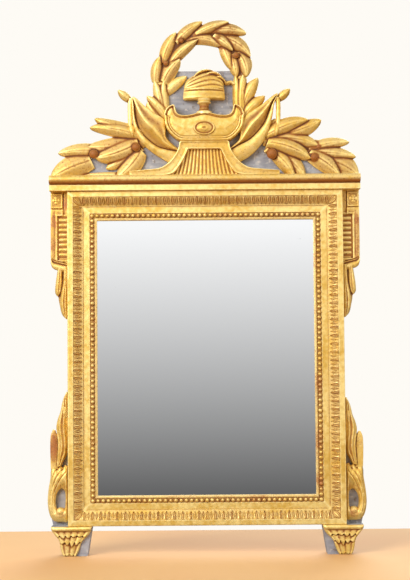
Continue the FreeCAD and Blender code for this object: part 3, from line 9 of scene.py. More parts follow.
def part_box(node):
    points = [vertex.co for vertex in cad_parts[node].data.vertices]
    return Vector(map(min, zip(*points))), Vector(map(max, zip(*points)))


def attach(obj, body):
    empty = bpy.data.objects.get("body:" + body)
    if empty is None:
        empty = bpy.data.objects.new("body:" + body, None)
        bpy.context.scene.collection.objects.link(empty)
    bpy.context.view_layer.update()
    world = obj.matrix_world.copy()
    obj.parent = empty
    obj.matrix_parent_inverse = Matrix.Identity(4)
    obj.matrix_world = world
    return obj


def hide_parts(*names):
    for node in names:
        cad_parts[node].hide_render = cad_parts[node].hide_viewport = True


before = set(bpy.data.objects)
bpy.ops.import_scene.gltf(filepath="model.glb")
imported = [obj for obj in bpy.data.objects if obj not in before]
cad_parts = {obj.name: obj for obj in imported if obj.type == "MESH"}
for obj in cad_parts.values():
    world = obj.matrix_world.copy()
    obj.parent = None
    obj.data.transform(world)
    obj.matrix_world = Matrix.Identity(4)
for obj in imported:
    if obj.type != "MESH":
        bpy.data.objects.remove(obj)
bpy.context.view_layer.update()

# A carved mirror frame, water-gilt and partly painted, that stands on two feet or hangs from two
# rings. It is put together here in the order of the bench: frame, glass, cornice, crest, sides.

# The gilding: gold leaf on red clay over white gesso, rubbed through on the proud edges, which are
# painted paler, part wear and part painted highlight, and toned brown in the hollows, part toner
# and part painted shade. Every gilt piece takes this one finish; backs are left as bare wood.
MM = 0.001
HAND = np.random.default_rng(1785)


class Wash:
    """A socket of a finish. Arithmetic on it adds Math nodes; node() adds any other node."""

    def __init__(self, tree, socket):
        self.tree, self.socket = tree, socket

    def node(self, kind, settings, inputs, output=0):
        made = self.tree.nodes.new(kind)
        for name, value in settings.items():
            setattr(made, name, value)
        for name, value in inputs.items():
            if isinstance(value, Wash):
                self.tree.links.new(value.socket, made.inputs[name])
            else:
                made.inputs[name].default_value = value
        return Wash(self.tree, made.outputs[output])

    def maths(self, operation, first, second):
        return self.node("ShaderNodeMath", {"operation": operation}, {0: first, 1: second})

    def __add__(self, other):
        return self.maths("ADD", self, other)

    __radd__ = __add__

    def __sub__(self, other):
        return self.maths("SUBTRACT", self, other)

    def __rsub__(self, other):
        return self.maths("SUBTRACT", other, self)

    def __mul__(self, other):
        return self.maths("MULTIPLY", self, other)

    __rmul__ = __mul__

    def ramp(self, low, high):
        """0 up to the low value, 1 from the high one on, smooth between them."""
        return self.node(
            "ShaderNodeMapRange", {"interpolation_type": "SMOOTHSTEP"},
            {"Value": self, "From Min": low, "From Max": high})

    def into(self, under, over):
        """A colour that goes from one to another as this value goes from 0 to 1."""
        return self.node("ShaderNodeMix", {"data_type": "RGBA"}, {0: self, 6: under, 7: over}, 2)

    def noise(self, scale, detail=3.0, stretch=(1, 1, 1)):
        place = self.node("ShaderNodeVectorMath", {"operation": "MULTIPLY"}, {0: self, 1: stretch})
        return self.node("ShaderNodeTexNoise", {}, {"Vector": place, "Scale": scale, "Detail": detail})

    def relief(self, strength, depth):
        """Small bumps on the surface that follow this value."""
        return self.node("ShaderNodeBump", {}, {"Strength": strength, "Distance": depth, "Height": self})

    def carved(self, name):
        """A mark that the carving left on each point of a piece."""
        return self.node("ShaderNodeAttribute", {"attribute_name": name}, {}, 2)


def paint(red, green, blue):
    """A colour as it is seen, from 0 to 255, as light."""
    return tuple(
        part / 255 / 12.92 if part < 10.4 else ((part / 255 + 0.055) / 1.055) ** 2.4
        for part in (red, green, blue)) + (1.0,)


def new_finish(name):
    material = bpy.data.materials.new(name)
    material.use_nodes = True
    shader = material.node_tree.nodes["Principled BSDF"]
    coordinates = material.node_tree.nodes.new("ShaderNodeTexCoord")
    return material, shader, Wash(material.node_tree, coordinates.outputs["Object"])


def lay(shader, tree_end, socket):
    tree_end.tree.links.new(tree_end.socket, shader.inputs[socket])


gilding, shader, place = new_finish("gilding")
cloud = place.noise(11, 4)
patch = place.noise(34, 3)
speckle = place.noise(150, 4)
grit = place.noise(650, 2)
rub_and_highlight = place.carved("rub_and_highlight")
hollow = place.carved("hollow")
bole_and_shade = place.carved("bole_and_shade")
gold = (cloud * 0.6 + speckle * 0.4).ramp(0.38, 0.62).into(paint(220, 178, 80), paint(249, 222, 142))
# Proud places and crowns painted paler: part rubbed gold, part painted highlight.
gold = (rub_and_highlight * 0.6 + speckle * 0.5).ramp(0.45, 1.0).into(gold, paint(255, 232, 160))
# Clay where the gold is worn through; under the cornice roll this also paints shade.
clay = (bole_and_shade * 0.55 + patch * 0.75 + grit * 0.4).ramp(0.72, 0.98)
gold = clay.into(gold, paint(178, 112, 62))
fleck = place.noise(380, 3).ramp(0.55, 0.7)
# Brown in the hollows, low in the relief and in flecks: part toner, part painted shade.
toner_and_shade = (hollow + cloud * 0.45 + speckle * 0.4 + fleck * 0.2 - 0.42).ramp(0.08, 0.8)
gold = toner_and_shade.into(gold, paint(146, 87, 19))
# The deepest hollows painted darkest: painted shade.
gold = hollow.ramp(0.75, 1.0).into(gold, paint(96, 52, 14))
lay(shader, gold, "Base Color")
lay(shader, 0.5 - 0.32 * toner_and_shade - 0.15 * clay, "Metallic")
lay(shader, 0.36 + 0.16 * speckle + 0.22 * toner_and_shade, "Roughness")
craze = place.node(
    "ShaderNodeTexVoronoi", {"feature": "DISTANCE_TO_EDGE"}, {"Vector": place, "Scale": 130.0})
skin = speckle * 0.5 + grit * 0.3 + craze.ramp(0.0, 0.03) * 0.35
lay(shader, skin.relief(0.25, 0.6 * MM), "Normal")

bare_wood, shader, place = new_finish("bare_limewood")
grain = place.noise(60, 5, (0.12, 1, 1))
dust = place.noise(9, 4)
wood = grain.ramp(0.35, 0.65).into(paint(136, 98, 62), paint(178, 138, 94))
lay(shader, dust.ramp(0.45, 0.75).into(wood, paint(92, 68, 48)), "Base Color")
lay(shader, 0.7 + 0.2 * grain, "Roughness")
lay(shader, grain.relief(0.3, 0.6 * MM), "Normal")


close_turn, wide_turns = 4, 44
full_rub, full_hollow = 0.22 * MM, 0.7 * MM


def read_points(mesh, what):
    """The places or the normals of a mesh's points, a row each."""
    values = np.empty(len(mesh.vertices) * 3)
    mesh.vertices.foreach_get(what, values)
    return values.reshape(-1, 3)


def wear_and_shading_of(mesh):
    """How far each point stands out over its close surroundings, where the gold is painted paler as
    wear and as a painted highlight, how deep it lies in its wider surroundings, where toner and
    painted shade go, and where it is."""
    count = len(mesh.vertices)
    spots, facing = read_points(mesh, "co"), read_points(mesh, "normal")
    ends = np.empty(len(mesh.edges) * 2, np.int64)
    mesh.edges.foreach_get("vertices", ends)
    first, second = ends[0::2], ends[1::2]
    meeting = np.maximum(np.bincount(first, minlength=count) + np.bincount(second, minlength=count), 1)
    soft = spots.copy()
    for turn in range(wide_turns):
        pull = np.stack([
            np.bincount(first, soft[second, axis], count) + np.bincount(second, soft[first, axis], count)
            for axis in range(3)], axis=1)
        soft = 0.4 * soft + 0.6 * pull / meeting[:, None]
        if turn == close_turn:
            close = ((spots - soft) * facing).sum(1)
    wide = ((spots - soft) * facing).sum(1)
    return close / full_rub, -wide / full_hollow, spots


def limit(value):
    return np.clip(value, 0, 1)


def set_marks(mesh, rub_and_highlight, hollow, bole_and_shade):
    """Keeps on each point its paler wear and painted highlight, its toner and painted shade, and how
    much clay shows; under the cornice roll the clay is painted shade too.
    """
    for name, value in (("rub_and_highlight", rub_and_highlight), ("hollow", hollow), ("bole_and_shade", bole_and_shade)):
        mark = mesh.attributes.get(name) or mesh.attributes.new(name, "FLOAT", "POINT")
        mark.data.foreach_set("value", limit(value).astype(np.float32))


def stand(name, mesh):
    """Puts a finished mesh in the place of the node of that name."""
    piece = bpy.data.objects.new(name, mesh)
    bpy.context.scene.collection.objects.link(piece)
    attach(piece, "mirror")
    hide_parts(name)


facing_back, back_skin = 0.75, 1.5 * MM


def gild(name, mesh, crisp=None):
    """Makes a finished mesh into a gilt piece with its back left bare."""
    mesh.name = name
    mesh.shade_smooth()
    if crisp:
        mesh.set_sharp_from_angle(angle=math.radians(crisp))
    # Unmarked pieces are painted paler on proud places, as wear and painted highlight, and darker in hollows,
    # as toner and painted shade.
    if "rub_and_highlight" not in mesh.attributes:
        rub_and_highlight, hollow, spots = wear_and_shading_of(mesh)
        set_marks(mesh, rub_and_highlight, hollow, 0 * rub_and_highlight)
    mesh.materials.clear()
    mesh.materials.append(gilding)
    mesh.materials.append(bare_wood)
    back = max(vertex.co.y for vertex in mesh.vertices)
    for face in mesh.polygons:
        face.material_index = int(face.normal.y > facing_back and face.center.y > back - back_skin)
    stand(name, mesh)


# The frame: four lengths of limewood moulding, mitred and feathered at the corners. A flat outer
# band, an ogee, a flat band, a bed for the pearls and a thin lip at the sight edge.
frame_low, frame_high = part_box("frame_bottom_rail")[0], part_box("frame_top_rail")[1]
frame_width, frame_height = frame_high.x - frame_low.x, frame_high.z - frame_low.z
frame_back, frame_thickness = frame_high.y, frame_high.y - frame_low.y
frame_middle = (frame_low.z + frame_high.z) / 2
sharp_arris = 38
moulding_width = 43.5 * MM
outer_band = 8.5 * MM
arris = 1.5 * MM
band_step = 1.5 * MM
ogee_width = 14.0 * MM
ogee_drop = 6.5 * MM
quirk = 1.5 * MM
flat_band = 10.5 * MM
pearl_bed = 6.8 * MM
rebate_width = 8.0 * MM
rebate_depth = 16.0 * MM
ogee_top = frame_thickness - band_step
flat_front = ogee_top - ogee_drop - quirk
flat_start = outer_band + ogee_width
bed_start = flat_start + flat_band
lip_start = bed_start + pearl_bed


def ogee_front(share):
    """How far the ogee stands off the back, from its outer edge, 0, to its inner edge, 1."""
    return ogee_top - ogee_drop * share ** 2 * (3 - 2 * share)


moulding = [(0, 0), (0, frame_thickness - arris)]
moulding += [
    (arris * (1 - math.cos(turn)), frame_thickness - arris * (1 - math.sin(turn)))
    for turn in np.linspace(0.3, 1.57, 4)]
moulding += [(outer_band - 0.4 * MM, frame_thickness), (outer_band, frame_thickness - 0.4 * MM)]
moulding += [(outer_band + ogee_width * share, ogee_front(share)) for share in np.linspace(0, 1, 13)]
moulding += [
    (flat_start + 0.1 * MM, flat_front), (bed_start - 0.6 * MM, flat_front),
    (bed_start, flat_front - 0.5 * MM), (bed_start + 0.4 * MM, flat_front - 1.5 * MM),
    (lip_start - 0.4 * MM, flat_front - 1.5 * MM), (lip_start, flat_front - 0.6 * MM),
    (lip_start + 0.5 * MM, flat_front), (moulding_width - 0.9 * MM, flat_front),
    (moulding_width - 0.2 * MM, flat_front - 0.5 * MM), (moulding_width, flat_front - 1.3 * MM),
    (moulding_width, rebate_depth), (moulding_width - rebate_width, rebate_depth),
    (moulding_width - rebate_width, 0)]


def worked_length(section, length, mitred):
    """A length of moulding along X, planed by hand and so not quite straight. Its section gives
    places up from its foot and forward from its back, on Y = 0."""
    steps = 60
    points, faces, fine = [], [], []
    for (up, front), (next_up, next_front) in zip(section, section[1:] + section[:1]):
        parts = max(1, round(math.hypot(next_up - up, next_front - front) / (1.0 * MM)))
        fine += [
            (up + (next_up - up) * part / parts, front + (next_front - front) * part / parts)
            for part in range(parts)]
    section = fine
    count = len(section)
    for step in range(steps + 1):
        share = 2 * step / steps - 1
        sway = 0.12 * MM * math.sin(share * 9 + length * 40) + 0.08 * MM * math.sin(share * 23) - 0.22 * MM
        for up, front in section:
            half = length / 2 - (up if mitred else 0)
            loose = sway if front > rebate_depth and 0 < step < steps else 0
            points.append((share * half, -front - loose, up))
    for step in range(steps):
        for corner in range(count):
            onward = (corner + 1) % count
            near, far = step * count, (step + 1) * count
            faces.append((near + corner, near + onward, far + onward, far + corner))
    faces.append(tuple(range(count)))
    faces.append(tuple(range(steps * count, (steps + 1) * count)))
    return points, faces


def plain_mesh(name, points, faces):
    mesh = bpy.data.meshes.new(name)
    mesh.from_pydata([tuple(point) for point in points], [], faces)
    work = bmesh.new()
    work.from_mesh(mesh)
    bmesh.ops.recalc_face_normals(work, faces=work.faces)
    work.to_mesh(mesh)
    work.free()
    return mesh


def joined(meshes):
    work = bmesh.new()
    for mesh in meshes:
        work.from_mesh(mesh)
    whole = bpy.data.meshes.new("joined")
    work.to_mesh(whole)
    work.free()
    return whole


# The carving that runs along the mouldings: leaf tips with darts between them on the ogee and a
# string of pearls at the sight edge, cut from the same wood one after the other.
run_tree = bpy.data.node_groups.new("run_of_carving", "GeometryNodeTree")
for label, kind in (
        ("Unit", "NodeSocketObject"), ("Count", "NodeSocketInt"), ("Start", "NodeSocketVector"),
        ("Pitch", "NodeSocketVector"), ("Unevenness", "NodeSocketFloat"), ("Finish", "NodeSocketMaterial")):
    run_tree.interface.new_socket(label, in_out="INPUT", socket_type=kind)
run_tree.interface.new_socket("Carving", in_out="OUTPUT", socket_type="NodeSocketGeometry")
given = run_tree.nodes.new("NodeGroupInput")
line = run_tree.nodes.new("GeometryNodeMeshLine")
line.mode = "OFFSET"
unit = run_tree.nodes.new("GeometryNodeObjectInfo")
chance = run_tree.nodes.new("FunctionNodeRandomValue")
chance.data_type = "FLOAT"
chance.inputs[2].default_value = -1.0
chance.inputs[3].default_value = 1.0
chance.inputs["Seed"].default_value = 12
swell = run_tree.nodes.new("ShaderNodeMath")
swell.operation = "MULTIPLY_ADD"
swell.inputs[2].default_value = 1.0
strew = run_tree.nodes.new("GeometryNodeInstanceOnPoints")
real = run_tree.nodes.new("GeometryNodeRealizeInstances")
coat = run_tree.nodes.new("GeometryNodeSetMaterial")
end = run_tree.nodes.new("NodeGroupOutput")
for source, output, target, entry in (
        (given, "Unit", unit, "Object"), (given, "Count", line, "Count"),
        (given, "Start", line, "Start Location"), (given, "Pitch", line, "Offset"),
        (chance, 1, swell, 0), (given, "Unevenness", swell, 1),
        (line, "Mesh", strew, "Points"), (unit, "Geometry", strew, "Instance"),
        (swell, "Value", strew, "Scale"), (strew, "Instances", real, "Geometry"),
        (real, "Geometry", coat, "Geometry"), (given, "Finish", coat, "Material"),
        (coat, "Geometry", end, "Carving")):
    run_tree.links.new(source.outputs[output], target.inputs[entry])


def run_of(mesh, count, start, pitch, unevenness, finish):
    """A row of one carved unit, as a plain mesh."""
    pattern = bpy.data.objects.new("unit", mesh)
    host = bpy.data.objects.new("run", bpy.data.meshes.new("run"))
    for thing in (pattern, host):
        bpy.context.scene.collection.objects.link(thing)
    values = {
        "Unit": pattern, "Count": count, "Start": start, "Pitch": pitch, "Unevenness": unevenness,
        "Finish": finish}
    growth = host.modifiers.new("run", "NODES")
    growth.node_group = run_tree
    for item in run_tree.interface.items_tree:
        if item.in_out == "INPUT":
            growth[item.identifier] = values[item.name]
    graph = bpy.context.evaluated_depsgraph_get()
    row = bpy.data.meshes.new_from_object(host.evaluated_get(graph))
    for thing in (host, pattern):
        bpy.data.objects.remove(thing)
    return row


def sheet_faces(rows, columns):
    return [
        (corner, corner + 1, corner + columns + 1, corner + columns)
        for row in range(rows - 1) for corner in range(row * columns, (row + 1) * columns - 1)]


def to_the_front(mesh):
    """Turns a sheet of carving so that its outside faces forward."""
    if sum(face.normal.y for face in mesh.polygons) > 0:
        mesh.flip_normals()


def ogee_leaf(half_widths, shares, heights, middle=0.0):
    """A small leaf that follows the ogee: half widths along it, heights across it."""
    across = np.linspace(-1, 1, len(heights))
    points = [
        (middle + half * sideways, -ogee_front(share) - height, outer_band + ogee_width * share)
        for half, share in zip(half_widths, shares) for sideways, height in zip(across, heights)]
    return points, sheet_faces(len(shares), len(heights))


tip_pitch = 12.2 * MM
tip_shares = (0.05, 0.16, 0.3, 0.46, 0.62, 0.77, 0.9)
tip_halves = [tip_pitch * half for half in (0.2, 0.29, 0.335, 0.32, 0.26, 0.16, 0.02)]
tip_heights = [height * MM for height in (-0.4, 0.9, 1.2, 0.3, 0.4, 1.4, 0.4, 0.3, 1.2, 0.9, -0.4)]
dart_shares = (0.08, 0.3, 0.5, 0.7, 0.86)
dart_halves = [tip_pitch * half for half in (0.04, 0.1, 0.13, 0.1, 0.02)]
dart_heights = [height * MM for height in (-0.4, 0.5, 1.1, 0.5, -0.4)]
leaf_points, leaf_faces = ogee_leaf(tip_halves, tip_shares, tip_heights)
dart_points, dart_faces = ogee_leaf(dart_halves, dart_shares, dart_heights, tip_pitch / 2)
leaf_faces += [tuple(corner + len(leaf_points) for corner in face) for face in dart_faces]
leaf_tip = plain_mesh("leaf_tip", leaf_points + dart_points, leaf_faces)
to_the_front(leaf_tip)


def vary_tips(row):
    """Cuts some of a row's leaf tips deeper than others, and paints their crowns paler as a highlight
    and their low parts darker as toner and painted shade, a little differently from tip to tip.
    """
    spots = read_points(row, "co")
    level = -ogee_front((spots[:, 2] - outer_band) / ogee_width)
    tip = np.arange(len(spots)) // len(leaf_tip.vertices)
    depth = HAND.uniform(0.8, 1.15, tip.max() + 1)[tip]
    rise = (level - spots[:, 1]) * depth + HAND.uniform(-0.12, 0.12, len(spots)) * MM
    spots[:, 1] = level - rise
    row.vertices.foreach_set("co", spots.ravel())
    tone = HAND.uniform(-0.1, 0.1, tip.max() + 1)[tip]
    rise = rise / MM
    set_marks(row, 1.2 * rise - 0.5, 1.05 + tone - 1.0 * rise, 0 * rise)


def corner_leaf(length, side):
    """The leaf that covers a mitre at one end of a length."""
    points, rises = [], []
    steps = 9
    for share in np.linspace(0.06, 0.98, steps):
        half = min(share * ogee_width * 0.95, 3.4 * MM) * math.sin(math.pi * min(share + 0.12, 1.0)) ** 0.5
        for step in np.linspace(-1, 1, steps):
            off = half * step
            along, up = outer_band + ogee_width * share + off, outer_band + ogee_width * share - off
            level = ogee_front(max(0.0, (min(along, up) - outer_band) / ogee_width))
            height = (1.3 * (1 - step ** 2) ** 0.5 + 0.4 * math.cos(step * 12) * (1 - abs(step)) - 0.4) * MM
            points.append((side * (length / 2 - along), -level - height, up))
            rises.append(height / MM)
    mesh = plain_mesh("corner_leaf", points, sheet_faces(steps, steps))
    to_the_front(mesh)
    rise = np.array(rises)
    # Darker where the leaf lies low: toner and painted shade.
    set_marks(mesh, 0 * rise, 0.7 - 0.35 * rise, 0 * rise)
    return mesh


def tone_and_shade_bed(bar):
    """Toner and painted shade lie in the carved ground of the ogee, in the bed of the pearls and on the
    lip, and some clay shows in the bed and on the lip; no painted highlight on the carving or the bed.
    """
    rub_and_highlight, hollow, spots = wear_and_shading_of(bar)
    up, front = spots[:, 2], -spots[:, 1]
    seen = front > rebate_depth + 1 * MM
    carved = seen & (up > outer_band + 0.6 * MM) & (up < flat_start - 0.3 * MM)
    bed = seen & (up > bed_start) & (up < lip_start)
    lip = seen & (up > lip_start)
    places = (carved, bed, lip)
    set_marks(
        bar, np.where(carved | bed, 0.0, rub_and_highlight),
        np.select(places, (np.maximum(0.4 * hollow, 0.3), 0.52, 0.3), 0.35 * hollow),
        np.select(places, (0.0, 0.3, 0.25)))


pearl_radius = 3.0 * MM
pearl_pitch = 7.75 * MM
pearl_line = bed_start + pearl_bed / 2
bead = bmesh.new()
bmesh.ops.create_uvsphere(bead, u_segments=10, v_segments=6, radius=pearl_radius)
pearl = bpy.data.meshes.new("pearl")
bead.to_mesh(pearl)
bead.free()
pearl_rise = np.array([-vertex.co.y for vertex in pearl.vertices]) / pearl_radius
# Each pearl is painted paler on its crown as a highlight and darker towards its bed as toner and painted
# shade, with clay more likely on its flanks.
set_marks(pearl, 0.6 * pearl_rise - 0.35, 0.62 - 0.5 * pearl_rise, 0.5 - 0.3 * pearl_rise)

for name, length, where, turn in (
        ("frame_bottom_rail", frame_width, (0, frame_back, frame_low.z), 0),
        ("frame_top_rail", frame_width, (0, frame_back, frame_high.z), 180),
        ("frame_left_stile", frame_height, (frame_low.x, frame_back, frame_middle), 90),
        ("frame_right_stile", frame_height, (frame_high.x, frame_back, frame_middle), -90)):
    bar = plain_mesh(name, *worked_length(moulding, length, True))
    tone_and_shade_bed(bar)
    tip_run = length - 2 * flat_start - 3 * MM
    tips = round(tip_run / tip_pitch) + 1
    tip_row = run_of(leaf_tip, tips, (-tip_run / 2, 0, 0), (tip_run / (tips - 1), 0, 0), 0.0, gilding)
    vary_tips(tip_row)
    pearl_run = length - 2 * pearl_line
    gaps = round(pearl_run / pearl_pitch)
    step = pearl_run / gaps
    spare = 0 if turn in (0, 180) else 1
    pearls = run_of(
        pearl, gaps + 1 - 2 * spare,
        (-pearl_run / 2 + spare * step, -flat_front + 0.3 * MM, pearl_line), (step, 0, 0), 0.12, gilding)
    parts = [bar, tip_row, pearls]
    if not spare:
        parts += [corner_leaf(length, -1), corner_leaf(length, 1)]
    whole = joined(parts)
    whole.transform(Matrix.Translation(where) @ Matrix.Rotation(math.radians(turn), 4, "Y"))
    gild(name, whole, sharp_arris)


# The glass: an old silvered plate in the rebate, held by three pine boards that are bradded in
# behind it. Softwood blocks keep it off the rebate's walls.
silvering, shader, place = new_finish("silvered_glass")
bloom = place.noise(7, 3)
pinholes = place.node("ShaderNodeTexVoronoi", {}, {"Vector": place, "Scale": 55.0})
speck = (1 - pinholes.ramp(0.02, 0.06)) * place.noise(5, 1).ramp(0.6, 0.72)
lay(shader, (speck * 0.5).into(paint(250, 251, 252), paint(90, 90, 88)), "Base Color")
shader.inputs["Metallic"].default_value = 1.0
lay(shader, 0.015 + 0.02 * bloom, "Roughness")

pine, shader, place = new_finish("old_pine")
rings = place.node(
    "ShaderNodeTexWave", {"bands_direction": "Z"},
    {"Vector": place.node("ShaderNodeVectorMath", {"operation": "MULTIPLY"}, {0: place, 1: (0.06, 1, 1)}),
     "Scale": 46.0, "Distortion": 7.0, "Detail": 4.0, "Detail Scale": 1.2})
smoke = place.noise(6, 4)
lay(shader, (smoke.ramp(0.42, 0.7) * 0.7).into(
    (rings * 0.6).into(paint(166, 122, 74), paint(128, 88, 50)), paint(84, 62, 44)), "Base Color")
lay(shader, 0.72 + 0.15 * smoke, "Roughness")
lay(shader, rings.relief(0.35, 0.7 * MM), "Normal")


def coat_node(name, finish, back=None):
    """Gives a piece that is right as it is its finish."""
    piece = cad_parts[name]
    piece.data.materials.clear()
    piece.data.materials.append(finish)
    if back:
        piece.data.materials.append(back)
        for face in piece.data.polygons:
            face.material_index = int(face.normal.y > facing_back)


coat_node("mirror_glass", silvering)
coat_node("glass_spacers", pine)
coat_node("mitre_splines", bare_wood)
board_chamfer = 2.2 * MM
for name in ("back_board_lower", "back_board_middle", "back_board_upper"):
    low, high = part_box(name)
    work = bmesh.new()
    bmesh.ops.create_cube(work, size=1.0)
    bmesh.ops.scale(work, vec=high - low, verts=work.verts)
    bmesh.ops.translate(work, vec=(high + low) / 2, verts=work.verts)
    rim = [edge for edge in work.edges if all(vertex.co.y > high.y - 0.1 * MM for vertex in edge.verts)]
    bmesh.ops.bevel(work, geom=rim, offset=board_chamfer, segments=1, affect="EDGES")
    board = bpy.data.meshes.new(name)
    work.to_mesh(board)
    work.free()
    board.materials.append(pine)
    stand(name, board)


# The cornice: one straight length of wood pegged on top of the frame, a plump roll over a groove
# and a flat band, its ends cut square.
cornice_low, cornice_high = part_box("cornice")
cornice_depth = cornice_high.y - cornice_low.y
cornice_height = cornice_high.z - cornice_low.z
fascia_height = 8.5 * MM
fascia_front = cornice_depth - 6.0 * MM
groove = 1.6 * MM
roll_foot = fascia_height + groove
roll_radius = (cornice_height - roll_foot) / 2
cornice_section = [
    (0, 0), (0, fascia_front - 0.6 * MM), (0.6 * MM, fascia_front), (fascia_height - 0.5 * MM, fascia_front),
    (fascia_height, fascia_front - 0.5 * MM), (fascia_height, fascia_front - groove),
    (roll_foot, fascia_front - groove)]
cornice_section += [
    (roll_foot + roll_radius * (1 - math.cos(turn)), cornice_depth - roll_radius * (1 - math.sin(turn)))
    for turn in np.linspace(0, math.pi, 13)]
cornice_section += [(cornice_height, 0)]
cornice = plain_mesh("cornice", *worked_length(cornice_section, cornice_high.x - cornice_low.x, False))
rub_and_highlight, hollow, spots = wear_and_shading_of(cornice)
up_roll = (spots[:, 2] - roll_foot) / (2 * roll_radius)
on_roll = up_roll > -0.02
# The roll's lower half is painted darker and redder, through the toner and clay marks, and the groove under
# it darker still: painted shade under the roll, over some toner.
under = np.where(on_roll & (-spots[:, 1] > fascia_front - 2 * groove), limit(1 - up_roll / 0.5), 0)
in_groove = (up_roll < 0.0) & (spots[:, 2] > fascia_height - 0.1 * MM)
toned_and_shaded = np.maximum(0.5 * hollow, np.where(on_roll, 0.26 + 0.62 * under, 0))
set_marks(cornice, rub_and_highlight, np.where(in_groove, 0.62, toned_and_shaded), 0.65 * under)
cornice.transform(Matrix.Translation((0, cornice_high.y, cornice_low.z)))
gild("cornice", cornice, sharp_arris)


# The crest board: the flat ground of the crest, sawn to the outline of the ornament and painted
# in blue-grey distemper that has gone chalky and dirty. Two long pegs hold it on the cornice.
distemper, shader, place = new_finish("blue_grey_distemper")
patch = place.noise(40, 4)
chalk = place.noise(150, 4)
brushing = place.noise(210, 3, (0.25, 1, 1))
blue = (patch * 0.6 + brushing * 0.4).ramp(0.38, 0.62).into(paint(134, 136, 146), paint(166, 168, 174))
blue = chalk.ramp(0.58, 0.74).into(blue, paint(194, 190, 186))
blue = place.noise(90, 5).ramp(0.6, 0.72).into(blue, paint(112, 98, 84))
lay(shader, blue, "Base Color")
lay(shader, 0.78 + 0.15 * chalk, "Roughness")
lay(shader, brushing.relief(0.3, 0.5 * MM), "Normal")
coat_node("crest_board", distemper, bare_wood)
for name in ("crest_dowels", "foot_dowels", "side_dowels", "wreath_dowels"):
    coat_node(name, bare_wood)

crest_half = cornice_high.x
crest_foot = cornice_high.z
crest_height = 237 * MM
crest_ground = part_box("crest_board")[0].y


def crest(across, up):
    """A place on the crest from its shares of half the cornice's width and of the crest's height."""
    return np.array((crest_half * across, crest_foot + crest_height * up))


def on_crest(places, side=1):
    return [crest(side * across, up) for across, up in places]


def flowing(places, count):
    """Evenly stepped places on a smooth line through the given ones."""
    given = np.array(places, float)
    line = np.concatenate([2 * given[:1] - given[1:2], given, 2 * given[-1:] - given[-2:-1]])
    reach = np.linspace(0, len(given) - 1, count)
    span = np.minimum(reach.astype(int), len(given) - 2)
    part = (reach - span)[:, None]
    before, start, finish, after = line[span], line[span + 1], line[span + 2], line[span + 3]
    return start + 0.5 * part * (finish - before + part * (
        2 * before - 5 * start + 4 * finish - after + part * (3 * (start - finish) + after - before)))


def both_sides(places, count):
    """A smooth line through places on the crest's right half and through their mirror images."""
    return flowing(on_crest(places[:0:-1], -1) + on_crest(places), count)


def sideways_of(line):
    """The way across a line at each of its points."""
    course = np.gradient(line, axis=0)
    return np.stack([-course[:, 1], course[:, 0]], 1) / np.hypot(course[:, :1], course[:, 1:])


def between(one, other, across):
    """Places on the way from one line to another, as how far across and how far up they are."""
    return (one[:, axis:axis + 1] * (1 - across) + other[:, axis:axis + 1] * across for axis in (0, 1))


def nearest(x, z, line):
    """How far places are from the nearest point of a line."""
    near = np.full(x.shape, 1.0)
    for spot in line:
        near = np.minimum(near, np.hypot(x - spot[0], z - spot[1]))
    return near


def bell(off):
    return np.exp(-off ** 2)


def dome(off):
    """A half round over places from -1 to 1."""
    return np.sqrt(limit(1 - off ** 2))


toner_and_shade_depth = 4 * MM


